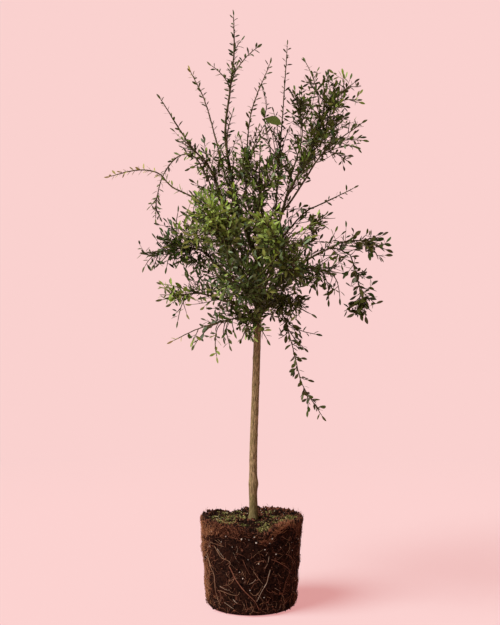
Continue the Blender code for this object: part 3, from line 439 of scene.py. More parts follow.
# Openings where the sky shows through the crown from front to back, as ellipses on the upright plane
# through the trunk: (x, z, half width, half height, share of the shoots and leaves that still cross it).
OPENINGS = [
    (0.250, 1.455, 0.060, 0.030, 0.30), (0.175, 1.445, 0.030, 0.020, 0.40),
    (0.210, 1.150, 0.065, 0.025, 0.05), (0.145, 1.105, 0.050, 0.035, 0.15),
    (0.180, 1.070, 0.024, 0.018, 0.20), (0.235, 1.045, 0.040, 0.020, 0.20),
    (0.220, 1.010, 0.038, 0.018, 0.25), (0.320, 1.010, 0.050, 0.015, 0.25),
    (0.105, 1.025, 0.032, 0.025, 0.35), (0.105, 1.065, 0.032, 0.022, 0.28),
    (0.095, 1.100, 0.030, 0.030, 0.35), (0.270, 0.940, 0.020, 0.020, 0.15),
    (0.200, 0.920, 0.035, 0.018, 0.40), (0.240, 0.870, 0.020, 0.035, 0.20),
    (0.290, 0.850, 0.020, 0.020, 0.45), (0.145, 0.950, 0.030, 0.015, 0.60),
    (0.295, 0.985, 0.025, 0.020, 0.35), (0.175, 0.785, 0.030, 0.024, 0.10),
    (0.130, 0.765, 0.030, 0.020, 0.35), (0.055, 0.732, 0.020, 0.018, 0.25),
    (0.010, 1.390, 0.022, 0.030, 0.40), (0.020, 1.195, 0.030, 0.020, 0.45),
    (0.050, 1.145, 0.020, 0.020, 0.60), (-0.035, 1.125, 0.020, 0.015, 0.25),
    (-0.105, 1.295, 0.035, 0.050, 0.10), (-0.155, 1.195, 0.014, 0.014, 0.50),
    (-0.170, 1.155, 0.020, 0.025, 0.15), (-0.195, 1.105, 0.030, 0.060, 0.30),
    (-0.220, 1.060, 0.022, 0.030, 0.25), (-0.105, 1.188, 0.014, 0.012, 0.40),
    (-0.280, 0.982, 0.026, 0.014, 0.25), (-0.250, 0.880, 0.065, 0.022, 0.15),
    (-0.165, 0.790, 0.040, 0.025, 0.10), (-0.125, 0.760, 0.020, 0.020, 0.50),
    (-0.155, 0.735, 0.050, 0.020, 0.30), (-0.115, 1.125, 0.015, 0.010, 0.30),
    (-0.005, 1.105, 0.018, 0.012, 0.20), (-0.105, 0.985, 0.012, 0.010, 0.30),
    (-0.105, 1.225, 0.020, 0.020, 0.35), (0.015, 0.950, 0.010, 0.010, 0.30),
    (0.268, 0.832, 0.040, 0.018, 0.15), (0.030, 0.855, 0.010, 0.010, 0.25),
    (-0.025, 0.995, 0.010, 0.010, 0.30), (0.180, 0.960, 0.015, 0.010, 0.40),
    (0.070, 0.985, 0.010, 0.010, 0.35), (-0.145, 1.260, 0.020, 0.020, 0.30),
    (-0.130, 1.185, 0.030, 0.016, 0.35), (0.175, 1.065, 0.020, 0.020, 0.20),
    (0.135, 1.010, 0.028, 0.030, 0.08), (0.115, 0.985, 0.030, 0.018, 0.12),
    (0.120, 1.105, 0.020, 0.020, 0.40), (0.185, 1.185, 0.032, 0.018, 0.35),
    (0.280, 1.385, 0.024, 0.014, 0.60), (0.200, 1.385, 0.022, 0.015, 0.60),
    (0.255, 1.262, 0.020, 0.015, 0.25), (-0.185, 0.865, 0.020, 0.016, 0.20),
    (0.215, 0.860, 0.015, 0.018, 0.35), (0.280, 0.825, 0.012, 0.012, 0.40),
    (0.300, 0.920, 0.022, 0.018, 0.40), (0.350, 0.985, 0.034, 0.016, 0.30),
    (-0.075, 0.742, 0.036, 0.014, 0.15), (0.045, 1.055, 0.010, 0.010, 0.30),
    (0.110, 0.905, 0.010, 0.008, 0.30), (-0.060, 1.040, 0.008, 0.008, 0.30),
    (0.065, 0.925, 0.008, 0.008, 0.30), (-0.050, 0.955, 0.008, 0.010, 0.30),
    (0.255, 0.990, 0.015, 0.010, 0.45), (0.335, 0.825, 0.018, 0.014, 0.40),
    (0.135, 1.265, 0.020, 0.020, 0.25), (0.015, 1.225, 0.018, 0.018, 0.50),
    (0.216, 1.215, 0.020, 0.020, 0.40), (-0.100, 1.400, 0.028, 0.040, 0.50),
    (-0.105, 0.700, 0.012, 0.016, 0.40), (-0.065, 0.740, 0.014, 0.012, 0.40),
    (-0.085, 1.080, 0.008, 0.008, 0.30), (-0.135, 1.020, 0.007, 0.008, 0.30),
    (0.000, 1.020, 0.007, 0.008, 0.30), (0.020, 0.900, 0.008, 0.010, 0.25),
    (0.256, 0.905, 0.014, 0.014, 0.40), (0.095, 0.955, 0.008, 0.008, 0.30),
    (-0.075, 0.905, 0.008, 0.008, 0.30), (0.075, 0.845, 0.008, 0.008, 0.30),
    (-0.140, 0.965, 0.010, 0.008, 0.30), (0.160, 0.925, 0.008, 0.008, 0.30),
    (0.055, 1.110, 0.010, 0.008, 0.30), (0.020, 1.150, 0.008, 0.010, 0.30),
    (-0.075, 1.155, 0.010, 0.008, 0.30), (0.055, 1.065, 0.012, 0.014, 0.30),
    (-0.295, 1.060, 0.016, 0.050, 0.25), (-0.150, 0.825, 0.015, 0.015, 0.40),
    (-0.110, 0.745, 0.015, 0.012, 0.35), (0.300, 0.945, 0.014, 0.010, 0.45),
    (0.095, 0.745, 0.015, 0.012, 0.40), (-0.080, 1.055, 0.008, 0.008, 0.25),
    (-0.150, 1.055, 0.008, 0.008, 0.25), (-0.120, 0.985, 0.008, 0.007, 0.25),
    (-0.180, 0.990, 0.008, 0.007, 0.25), (-0.165, 1.035, 0.007, 0.007, 0.25),
    (-0.100, 1.020, 0.007, 0.007, 0.25), (-0.060, 1.080, 0.008, 0.008, 0.25),
    (-0.020, 1.060, 0.008, 0.008, 0.25), (-0.075, 0.980, 0.007, 0.008, 0.25),
    (-0.190, 0.950, 0.008, 0.007, 0.25), (0.045, 0.960, 0.007, 0.008, 0.25),
    (-0.010, 0.920, 0.008, 0.007, 0.25), (-0.215, 0.985, 0.010, 0.008, 0.25),
    (-0.230, 0.930, 0.010, 0.007, 0.30), (-0.260, 0.950, 0.010, 0.008, 0.30),
    (0.256, 1.346, 0.020, 0.012, 0.45), (0.296, 1.265, 0.020, 0.016, 0.45),
    (0.176, 1.346, 0.020, 0.018, 0.45), (0.176, 1.225, 0.020, 0.018, 0.45),
    (-0.145, 1.145, 0.018, 0.016, 0.45), (0.095, 1.145, 0.016, 0.016, 0.45),
    (0.015, 1.100, 0.012, 0.010, 0.30), (-0.030, 1.105, 0.010, 0.008, 0.30),
    (0.060, 1.100, 0.012, 0.010, 0.35), (-0.190, 1.025, 0.020, 0.016, 0.30),
    (-0.148, 0.943, 0.020, 0.015, 0.15), (0.095, 0.990, 0.012, 0.010, 0.25),
    (0.338, 0.945, 0.018, 0.014, 0.50), (0.295, 0.905, 0.014, 0.014, 0.40),
    (-0.106, 0.823, 0.018, 0.014, 0.18), (-0.030, 0.955, 0.007, 0.007, 0.25),
    (-0.010, 0.880, 0.007, 0.007, 0.25), (0.005, 0.980, 0.007, 0.008, 0.25),
    (0.040, 0.885, 0.007, 0.007, 0.25), (-0.050, 0.875, 0.008, 0.007, 0.25),
    (0.060, 0.900, 0.007, 0.007, 0.25), (-0.005, 1.045, 0.007, 0.007, 0.25),
    (-0.120, 1.045, 0.007, 0.006, 0.25), (-0.090, 0.955, 0.007, 0.007, 0.25),
    (-0.185, 1.225, 0.016, 0.014, 0.45), (-0.066, 1.225, 0.014, 0.014, 0.45),
    (0.055, 1.225, 0.018, 0.014, 0.45), (0.095, 1.225, 0.016, 0.014, 0.45),
    (0.135, 1.225, 0.016, 0.014, 0.50), (0.216, 1.185, 0.018, 0.016, 0.30),
    (-0.145, 0.863, 0.018, 0.014, 0.28), (0.015, 1.185, 0.016, 0.014, 0.40),
    (0.320, 0.860, 0.030, 0.016, 0.35), (0.216, 0.944, 0.020, 0.014, 0.40),
    (0.256, 0.865, 0.016, 0.014, 0.35), (0.335, 0.785, 0.018, 0.016, 0.35),
    (0.135, 0.783, 0.016, 0.010, 0.30), (0.095, 1.346, 0.018, 0.018, 0.40),
    (-0.020, 1.000, 0.006, 0.006, 0.25), (0.035, 0.935, 0.006, 0.006, 0.25),
    (-0.115, 0.930, 0.007, 0.006, 0.25), (-0.060, 1.000, 0.006, 0.006, 0.25),
]

# Long straight young shoots in a mass, beside its leafy ones.
WANDS = {
    "head_front_left": 7, "head_front_low": 6, "head_front_right": 6, "skirt_right": 3, "head_top": 4,
    "head_left": 3, "head_right_middle": 3, "head_back_top": 3, "head_low_left": 2,
}
WAND_LEAF_GAP = 0.017
WAND_ROOTS = (0.05, 0.6)
WAND_ANGLES = (55, 85)
WAND_LENGTHS = (0.11, 0.17)
WAND_RISE = 0.25
WAND_TRIES = (1, 0.85, 0.7, 0.55)
WAND_THORNS = 0.3
WAND_TINTS = ("fresh", "olive", "deep")
WAND_LEAF = 0.85

# Young shoots with a place of their own, on the front of the crown and round its two large leaves: (mass,
# share of its stem where each one leaves it, the points that it then runs through, its wood, the tint of
# its leaves).
FRONT_SHOOTS = [
    ("head_front_left", 0.60, [(-0.045, -0.190, 0.990), (-0.070, -0.210, 1.050)], "wands", "fresh"),
    ("head_front_left", 0.75, [(-0.085, -0.215, 0.985), (-0.100, -0.225, 1.040)], "wands", "fresh"),
    ("head_front_left", 0.45, [(-0.165, -0.120, 1.000), (-0.155, -0.130, 1.060)], "wands", "olive"),
    ("head_left", 0.25, [(-0.155, -0.080, 0.995), (-0.185, -0.090, 0.935)], "wands", "fresh"),
    ("head_front_right", 0.50, [(0.025, -0.190, 0.980), (0.060, -0.210, 1.030)], "wands", "fresh"),
    ("head_front_right", 0.55, [(0.030, -0.205, 1.015), (0.065, -0.215, 1.020)], "wands", "fresh"),
    ("head_front_right", 0.40, [(0.035, -0.200, 0.945), (0.110, -0.215, 0.890)], "stems", "deep"),
    ("head_front_low", 0.50, [(-0.025, -0.195, 0.855), (-0.080, -0.215, 0.885)], "stems", "fresh"),
    ("head_front_low", 0.65, [(-0.060, -0.215, 0.925), (-0.030, -0.225, 0.950)], "stems", "blue"),
    ("skirt_right", 0.30, [(0.175, -0.035, 0.910), (0.245, -0.040, 0.950)], "stems", "deep"),
    ("head_right_middle", 0.20, [(0.085, -0.035, 1.005), (0.140, -0.040, 1.065)], "stems", "deep"),
    ("head_top", 0.20, [(0.045, -0.055, 1.045), (0.100, -0.060, 1.110)], "stems", "olive"),
    ("spear_right", 0.08, [(0.045, 0.045, 1.265), (0.035, 0.046, 1.310), (0.040, 0.045, 1.345),
                           (0.030, 0.050, 1.395)], "stems", "deep"),
    ("spear_right", 0.08, [(0.038, 0.048, 1.290), (0.042, 0.048, 1.350),
         (0.034, 0.052, 1.390)], "stems", "bronze"),
    ("head_front_right", 0.70, [(0.005, -0.215, 0.930), (0.015, -0.230, 0.900)], "wands", "blue"),
    ("head_front_left", 0.50, [(-0.060, -0.170, 0.930), (-0.040, -0.200, 0.905)], "wands", "blue"),
    ("head_front_left", 0.90, [(-0.120, -0.225, 0.985), (-0.150, -0.220, 0.975)], "wands", "blue"),
]
FRONT_LEAF = 0.9
FRONT_BLUE_GLINT_LEAF = 0.75

# Leaf tints, dealt out by spray: the colours of the blade's upper and under sides, and the size of its
# leaves against the rest. The fresh tint is young growth, and on the sunny front and left it is also
# painted sunlight. The bluish tint is a pale blade that also stands in for whitish glints: a painted
# highlight.
Tint = namedtuple("Tint", "upper lower size")

TINTS = {
    "deep": Tint((0.029, 0.060, 0.006), (0.052, 0.075, 0.014), 1.0),
    "olive": Tint((0.076, 0.116, 0.012), (0.098, 0.128, 0.026), 1.0),
    "bronze": Tint((0.049, 0.054, 0.003), (0.066, 0.070, 0.011), 1.0),
    "blue": Tint((0.055, 0.105, 0.045), (0.150, 0.205, 0.115), 1.35),
    "fresh": Tint((0.225, 0.338, 0.042), (0.252, 0.335, 0.070), 1.10),
    "pale": Tint((0.330, 0.290, 0.060), (0.350, 0.320, 0.095), 1.0),
}

# How many in ten sprays of a mass take each tint. "sunny" is for the shoots of the limbs on that side, and
# "" is for all the rest. The masses and limbs on the sunny left are dealt more of the fresh tint: partly
# young growth, partly painted sunlight.
SPRAYS = {
    "head_front_left": {"deep": 4, "olive": 4, "fresh": 2},
    "head_left": {"deep": 7, "olive": 2.5, "fresh": 0.5},
    "head_low_left": {"deep": 4, "olive": 4, "fresh": 2},
    "head_front_low": {"deep": 5, "olive": 4, "fresh": 1},
    "head_front_right": {"deep": 4, "olive": 3.5, "bronze": 2, "fresh": 0.5},
    "head_top": {"deep": 3, "olive": 4, "bronze": 2.5, "fresh": 0.5},
    "spear_left": {"deep": 4, "olive": 4, "bronze": 1.5, "fresh": 0.5},
    "skirt_front": {"deep": 4, "olive": 4, "bronze": 1.5, "fresh": 0.5},
    "whip_left": {"deep": 4, "olive": 4, "fresh": 2},
    "trail_left": {"deep": 4, "olive": 4, "fresh": 2},
    "spear_leader": {"deep": 5, "olive": 4, "fresh": 1},
    "sunny": {"deep": 4, "olive": 4, "fresh": 2},
    "head_right": {"bronze": 6, "deep": 4},
    "arc_right": {"bronze": 6, "deep": 4},
    "trail_right": {"bronze": 5, "deep": 5},
    "skirt_right": {"bronze": 5, "deep": 3, "olive": 2},
    "": {"bronze": 6, "deep": 1.5, "olive": 2.2, "fresh": 0.3},
}

# Painted sunlight: patches on the front of the crown where the light fresh tint is dealt, as ellipses on
# the upright plane through the trunk: (x, z, half width, half height, share of the sprays there that are
# fresh).
SUNLIT_PATCHES = [
    (-0.120, 1.055, 0.045, 0.045, 0.80), (-0.170, 1.005, 0.035, 0.025, 0.80),
    (-0.110, 1.005, 0.035, 0.020, 0.65), (0.040, 1.040, 0.028, 0.020, 0.60),
    (-0.060, 0.840, 0.045, 0.020, 0.50), (-0.215, 0.830, 0.035, 0.030, 0.45),
    (0.010, 0.765, 0.022, 0.016, 0.50), (-0.155, 1.220, 0.035, 0.020, 0.35),
    (-0.070, 1.210, 0.020, 0.020, 0.35), (-0.045, 1.155, 0.022, 0.014, 0.50),
    (0.085, 0.875, 0.025, 0.020, 0.35), (0.240, 1.370, 0.025, 0.060, 0.25),
    (-0.050, 1.030, 0.050, 0.055, 0.28), (0.030, 1.000, 0.045, 0.040, 0.22),
    (-0.020, 0.880, 0.065, 0.060, 0.30), (-0.205, 0.950, 0.045, 0.035, 0.25),
]
SUNLIT_PATCH_BACK = 0.03  # how far behind the trunk they still show
# The bluish leaves are pale blades that also stand in for whitish glints of light: painted highlights.
BLUE_GLINT_TWIGS = 0.035  # share of the small side twigs whose leaves are the bluish ones

# Where pale new growth starts on a stem, as a share of its length.
PALE_TIPS = {"whip_left": 0.62, "trail_left": 0.85, "spear_high_left": 0.93}

# Limbs on the sunny side, dealt more of the fresh tint: partly young growth, partly painted sunlight.
SUNNY_LIMBS = (
    "bough_front_left", "bough_left", "bough_left_high", "bough_upper_left", "bough_low_left",
)
SPUR_FLOOR = 0.715  # the lowest that a limb's own shoots hang

LEAF_FOLD = 0.22
LEAF_FOLDS = (0.4, 1.4)
LEAF_CURL = 0.14
LEAF_CURLS = (-0.3, 1.5)
LEAF_WIDTHS = (0.82, 1.15)
LEAF_ANGLE = math.radians(58)
LEAF_STATIONS = ((0.14, 0.34), (0.36, 0.84), (0.60, 1.00), (0.84, 0.66))  # share of length, of half width
THORN_LENGTH = 0.013
THORN_RADIUS = 0.00065
THORN_MIDDLE = 0.7
THORN_POINT = 0.00012
THORN_SIDES = 3
OVERHANG = 0.008  # how far past its solid's box a mass's leaves may reach

# Single large leaves from the rootstock's kind of growth: (foot, tip, width share, the way it faces, tint).
LARGE_LEAVES = [
    ((0.034, 0.045, 1.312), (0.082, 0.036, 1.297), 0.64, (-0.15, -0.70, 0.60), "olive"),
    ((0.034, 0.045, 1.314), (0.029, 0.040, 1.342), 0.55, (-0.60, -0.75, 0.20), "olive"),
]

# Roots, fibre, crumbs and moss on the root ball. Angles are degrees round from the front towards +X.

# The thickest roots on the front: radius and colour, and the way as (degrees, height). They lie a little
# higher than their way says, where the soil has sunk.
ROOTS = [
    (0.0009, "tan", [(-63, 0.147), (-56, 0.117), (-50, 0.092), (-49, 0.065), (-49, 0.043),
         (-41, 0.017)]),
    (0.0008, "tan", [(-48, 0.171), (-41, 0.155), (-36, 0.143), (-27, 0.138), (-24, 0.131),
         (-27, 0.123)]),
    (0.0005, "tan", [(-61, 0.165), (-55, 0.176), (-46, 0.177), (-32, 0.173)]),
    (0.0006, "white", [(-43, 0.166), (-38, 0.155), (-33, 0.145)]),
    (0.0004, "tan", [(-46, 0.187), (-42, 0.184), (-38, 0.179)]),
    (0.0012, "rust", [(-26, 0.123), (-23, 0.110), (-18, 0.090), (-12, 0.072), (-4, 0.053), (4, 0.035),
         (9, 0.012)]),
    (0.0008, "white", [(22, 0.117), (20, 0.098), (18, 0.084), (13, 0.065), (8, 0.043), (6, 0.035)]),
    (0.0007, "white", [(20, 0.151), (19, 0.133), (15, 0.121)]),
    (0.0006, "tan", [(2, 0.115), (7, 0.098), (13, 0.080)]),
    (0.0005, "rust", [(-10, 0.145), (-7, 0.127), (-2, 0.105)]),
    (0.0007, "rust", [(23, 0.143), (31, 0.135), (39, 0.123), (50, 0.102), (46, 0.082), (42, 0.053),
         (38, 0.029)]),
    (0.0006, "rust", [(42, 0.151), (51, 0.140), (60, 0.126), (66, 0.100), (64, 0.070)]),
    (0.0005, "white", [(-40, 0.068), (-33, 0.062), (-27, 0.061)]),
    (0.0005, "tan", [(-45, 0.053), (-39, 0.056), (-27, 0.051), (-17, 0.051), (-14, 0.060)]),
    (0.0007, "white", [(-23, 0.039), (-20, 0.033), (-17, 0.029)]),
    (0.0005, "white", [(-35, 0.027), (-28, 0.020), (-22, 0.014)]),
    (0.0005, "white", [(-3, 0.080), (2, 0.086), (5, 0.094)]),
    (0.0005, "tan", [(-2, 0.060), (3, 0.051), (8, 0.057), (13, 0.075)]),
    (0.0005, "rust", [(-7, 0.040), (-6, 0.028), (-5, 0.015)]),
    (0.0005, "rust", [(22, 0.040), (20, 0.032), (14, 0.030)]),
    (0.0006, "white", [(29, 0.067), (32, 0.063), (36, 0.058)]),
    (0.0005, "tan", [(5, 0.131), (10, 0.139), (15, 0.142)]),
]
ROOT_LIFT = 0.005
ROOT_WIND = 8  # an angle in radians against a height in metres, for an even step along a root's way
ROOT_STEP = 0.03

# Roots that wander over the side: how many, their lengths, radii, steps and how far they bend at each.
Wandering = namedtuple("Wandering", "count lengths radii step bend")

THICK_ROOTS = Wandering(71, (0.03, 0.085), (0.0004, 0.0005, 0.0006), 0.004, 0.10)
FINE_ROOTS = Wandering(549, (0.010, 0.036), (0.00022, 0.0003, 0.0004), 0.003, 0.22)
ROOT_COLOURS = {"tan": 4, "white": 1, "rust": 6}
ROOT_LOWEST = 0.006
ROOT_HIGHEST = 0.224
ROOT_SPREAD = 0.200
ROOT_LOWNESS = 1.7
ROOT_SLOPES = (0.2, 1.5)
ROOT_WOBBLE = 0.28
ROOT_TURN_RADIUS = 0.127
FRONT_ROOTS = 0.3  # cosine of the angle from the front within which no thick root wanders
ROOT_SIDES = 6
ROOT_CLEAR = 0.0011
ROOT_WAVE = 0.55
ROOT_THINNING = 0.5
ROOT_START = 0.45
ROOT_LEAST_POINTS = 5

# Matted fibre along the rim: (degrees, spread in degrees, lowest, highest, fibres, colour). The two light
# tufts down the left flank are coir that is there, painted lighter where the key light falls.
TUFTS = [
    (-52, 9, 0.200, 0.231, 60, "light"), (-38, 12, 0.198, 0.231, 80, "red"),
    (-16, 9, 0.200, 0.229, 70, "red"), (17, 6, 0.196, 0.212, 60, "red"),
    (30, 4, 0.212, 0.228, 50, "light"), (44, 11, 0.220, 0.232, 90, "light"),
    (66, 8, 0.210, 0.231, 50, "red"), (-80, 9, 0.020, 0.230, 420, "light"),
    (-66, 6, 0.030, 0.225, 120, "light"),
]
FIBRES = 5200
FIBRES_AT_RIM = 0.33
RIM_BAND = (0.19, 0.232)
SIDE_BAND = (0.006, 0.22)
BARE_FRONT = (0.208, 0.246)  # on the front the rim's fibres keep above a height drawn from this
FRONT_EDGE = 0.5
FRONT_FIBRES = 0.10  # share of the side's fibres that are left on the front
FLANK = 0.8
UPRIGHT_SPREAD = 0.5
LIGHT_FIBRES = 0.18
# Share of light fibres on the left flank, where the key light falls: real coir, painted lighter as sunlit.
LIGHT_FIBRES_SUNLIT_LEFT = 0.75
TUFT_SPREAD = 0.6
FIBRE_LENGTHS = (0.006, 0.022)
FIBRE_LIFTS = (0.0004, 0.0022)
FIBRE_RADII = (0.00016, 0.00038)
FIBRE_SAG = 0.004
FIBRE_TAPER = (1, 1, 1, 0.8, 0.4)
FIBRE_SIDES = 3
FIBRE_FOOT = 0.4  # how far its foot and its tip stand off the ball, against its middle
FIBRE_TIP = 0.6
FIBRE_BEND = 0.55
FIBRE_LOWEST = 0.003

# Clods that stand up along the rim and on the top, and the lit lip of the bite: (degrees, distance from
# the middle, clods, their size, share of reddish ones).
CLODS = [
    (-139, 0.126, 60, 0.0030, 0.3), (-122, 0.127, 50, 0.0032, 0.3), (-165, 0.122, 30, 0.0028, 0.4),
    (140, 0.122, 120, 0.0034, 0.7), (128, 0.124, 80, 0.0032, 0.7), (152, 0.118, 70, 0.0030, 0.8),
    (168, 0.075, 70, 0.0026, 0.7), (150, 0.050, 40, 0.0026, 0.7), (-88, 0.126, 50, 0.0034, 0.1),
    (-76, 0.127, 50, 0.0030, 0.1), (-48, 0.128, 40, 0.0022, 0.6), (-60, 0.128, 40, 0.0022, 0.6),
    (24, 0.129, 60, 0.0022, 0.9), (31, 0.130, 60, 0.0024, 0.9), (41, 0.129, 50, 0.0022, 0.8),
    (64, 0.128, 40, 0.0022, 0.5), (96, 0.126, 40, 0.0026, 0.4), (10, 0.020, 26, 0.0024, 0.3),
    (-20, 0.126, 30, 0.0022, 0.4), (-30, 0.126, 30, 0.0022, 0.6),
]
CLOD_SPREAD = 6.5
CLOD_SCATTER = 0.007
CLOD_EDGE = 0.004
CLOD_SIZES = (0.45, 1.1)
CLOD_PILE = 1.3
CLOD_SQUASH = 0.5
CLOD_LEAST_KNOB = 0.45

CRUMBS = 3600
CRUMB_SIZES = (0.0008, 0.0012, 0.0016, 0.0022, 0.0030)
CRUMBS_ON_TOP = 0.36
CRUMBS_ON_TOP_OR_RIM = 0.60
RED_CRUMBS = 0.34
CRUMB_SQUASH = 0.4
RIM_CRUMB = 1.2
RIM_CRUMB_BAND = (0.222, 0.234)
RIM_CRUMB_OUT = (-0.008, 0.0008)
RIM_CRUMB_PILE = 0.0045
SIDE_CRUMB = 0.7
SIDE_CRUMB_BAND = (0.004, 0.225)
SIDE_CRUMB_OUT = 0.35
CRUMB_CLEAR = 1.3
KNOB_SUM = 1.92  # the least knob and the largest one of a lump, added up
MIDDLE_BARE = 0.06

# White grains of perlite on the front: (degrees, height, size).
PERLITE = [
    (-36, 0.190, 0.0012), (-11, 0.205, 0.0021), (-7, 0.208, 0.0012), (3, 0.224, 0.0016),
    (5, 0.205, 0.0022), (23, 0.212, 0.0018), (15, 0.180, 0.0019), (29, 0.160, 0.0020),
    (8, 0.138, 0.0016), (20, 0.200, 0.0010), (-30, 0.206, 0.0014), (-14, 0.116, 0.0011),
    (-10, 0.099, 0.0016), (-2, 0.070, 0.0014), (-50, 0.212, 0.0012), (15, 0.050, 0.0012),
    (-3, 0.208, 0.0009), (-22, 0.180, 0.0010), (34, 0.176, 0.0010), (-4, 0.150, 0.0009),
]
LOOSE_PERLITE = 170
PERLITE_FRONT = 0.9  # radians each way from the front that are left to the ones above
PERLITE_ON_TOP = 0.3
PERLITE_SIZES = (0.0005, 0.0006, 0.0008, 0.0011, 0.0016)
PERLITE_SQUASH = 0.2
PERLITE_TOP_RADIUS = 0.125
PERLITE_TOP_HEIGHT = 0.001
PERLITE_SIDE_HEIGHT = 0.225
PERLITE_HIGHNESS = 0.4
PERLITE_OUT = 0.0012
LOOSE_OUT = 0.0010
PERLITE_LOWEST = 0.004

# Patches of moss on the top: (degrees, distance from the middle, spread, tufts).
MOSS = [
    (-55, 0.100, 0.026, 430), (-36, 0.104, 0.020, 330), (-80, 0.075, 0.030, 430),
    (-105, 0.045, 0.024, 260), (-16, 0.094, 0.014, 110), (66, 0.098, 0.026, 400),
    (46, 0.096, 0.022, 280), (88, 0.104, 0.022, 220), (18, 0.106, 0.015, 330), (24, 0.066, 0.014, 110),
    (150, 0.085, 0.020, 130), (-155, 0.080, 0.018, 120), (100, 0.060, 0.020, 170),
    (-130, 0.090, 0.018, 120),
]
MOSS_NEAREST = 0.016
MOSS_SPREADS = (0.6, 0.45)
MOSS_RISE = (0.05, 0.40)
MOSS_MIX = {"moss_green": 5, "moss_yellow": 4, "straw": 1}
MOSS_LENGTHS = (0.002, 0.0055)
MOSS_WIDTHS = (0.0006, 0.0013)
MOSS_ARCH = 0.0006
MOSS_MIDDLE = 0.55
MOSS_FOOT = 0.6

# Finishes in two colours that lie in soft patches.
Finish = namedtuple("Finish", "light dark roughness scale", defaults=[120.0])

FINISHES = {
    "green_wood": Finish((0.105, 0.080, 0.030), (0.050, 0.036, 0.016), 0.70),
    "twig": Finish((0.075, 0.058, 0.020), (0.038, 0.026, 0.011), 0.70),
    "wand": Finish((0.190, 0.215, 0.050), (0.110, 0.130, 0.028), 0.60),
    "thorn": Finish((0.150, 0.125, 0.050), (0.080, 0.062, 0.028), 0.60),
    "root_tan": Finish((0.390, 0.225, 0.135), (0.200, 0.100, 0.054), 0.75),
    "root_white": Finish((0.480, 0.360, 0.270), (0.260, 0.170, 0.110), 0.70),
    "root_rust": Finish((0.310, 0.125, 0.072), (0.140, 0.050, 0.028), 0.80),
    "coir_dark": Finish((0.235, 0.082, 0.044), (0.075, 0.024, 0.013), 0.85),
    "coir_light": Finish((0.540, 0.250, 0.120), (0.255, 0.098, 0.046), 0.85),
    "coir_red": Finish((0.310, 0.120, 0.060), (0.105, 0.034, 0.017), 0.85),
    "crumbs_dark": Finish((0.042, 0.017, 0.011), (0.005, 0.002, 0.0015), 0.95),
    "crumbs_red": Finish((0.200, 0.072, 0.040), (0.065, 0.022, 0.012), 0.95),
    "perlite": Finish((0.80, 0.74, 0.66), (0.50, 0.44, 0.38), 0.80, 600.0),
    "moss_green": Finish((0.105, 0.105, 0.020), (0.035, 0.042, 0.008), 0.85),
    "moss_yellow": Finish((0.420, 0.370, 0.140), (0.170, 0.155, 0.045), 0.85),
    "straw": Finish((0.460, 0.350, 0.180), (0.240, 0.160, 0.070), 0.80),
}

# Bark: the colours of its ridges, its furrows and its green bloom, the bloom's share, and the relief.
Bark = namedtuple("Bark", "ridge furrow bloom share relief")

TRUNK_BARK = Bark((0.440, 0.308, 0.165), (0.100, 0.064, 0.028), (0.150, 0.130, 0.038), 0.55, 0.0012)
BOUGH_BARK = Bark((0.180, 0.145, 0.065), (0.050, 0.036, 0.015), (0.080, 0.090, 0.024), 0.75, 0.0006)
SCAR_BROWN = (0.045, 0.026, 0.014)
ALGAE_GREEN = (0.085, 0.090, 0.022)
ALGAE_BAND = (0.235, 0.300)
SOIL_LIGHT = (0.026, 0.010, 0.006)
SOIL_DARK = (0.0016, 0.0007, 0.0006)
SOIL_FIBRE = (0.056, 0.017, 0.008)
SOIL_FLANKS = (0.05, 0.11)
BARK_ROUGHNESS = 0.85
BARK_STRETCH = 0.14
STREAKS, BLOTCHES, FINE_BARK = 420.0, 55.0, 700.0
FINE_GRAIN = 900.0
STREAK_HEIGHT = 0.6
SOIL_ROUGHNESS = 0.92
SOIL_MOTTLE_SCALE = 190.0
SOIL_PATCHES = 34.0
LEAF_ROUGHNESS = 0.42
LEAF_MOTTLE = (1.25, 0.72)  # the two colours of a blade, against its tint
LEAF_MOTTLE_SCALE = 70.0
PLAIN_GLOSS = 0.15
LEAF_GLOSS = 0.30
SOIL_GLOSS = 0.04
GRAIN_RELIEF = 0.0003
LEAF_RELIEF = 0.0002
SOIL_RELIEF = 0.0012


# Meshes made of many small things


class Heap:
    """Corners and faces of many small things, on their way to one mesh."""

    def __init__(self):
        self.corners = []
        self.faces = []
        self.count = 0

    def add(self, corners, faces):
        self.corners.append(corners)
        self.faces.extend(tuple(self.count + corner for corner in face) for face in faces)
        self.count += len(corners)

    def add_copies(self, corners, faces):
        """`corners` is an array of copies by corners by 3, and all the copies share `faces`."""
        copies, each, _ = corners.shape
        self.corners.append(corners.reshape(-1, 3))
        for copy in range(copies):
            start = self.count + copy * each
            self.faces.extend(tuple(start + corner for corner in face) for face in faces)
        self.count += copies * each

    def piece(self, name, material, slot, smooth=True):
        mesh = bpy.data.meshes.new(name)
        mesh.from_pydata(np.concatenate(self.corners).tolist(), [], self.faces)
        return finished(name, mesh, material, smooth)


def linked(name, data):
    """A new object in the scene."""
    made = bpy.data.objects.new(name, data)
    bpy.context.scene.collection.objects.link(made)
    return made


def finished(name, mesh, material, smooth=True):
    """The mesh as a piece of the tree, with its material."""
    mesh.materials.append(material)
    if smooth:
        mesh.shade_smooth()
    piece = linked(name, mesh)
    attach(piece, "root")
    return piece


def ring_faces(rings, sides):
    """The faces between neighbouring rings of corners."""
    faces = []
    for ring in range(rings - 1):
        low, high = ring * sides, (ring + 1) * sides
        for side in range(sides):
            after = (side + 1) % sides
            faces.append((low + side, low + after, high + after, high + side))
    return faces


def copies_piece(name, copies, material, slot, smooth=True):
    """A piece made of many copies, given as their corners and faces."""
    heap = Heap()
    heap.add_copies(*copies)
    heap.piece(name, material, slot, smooth)


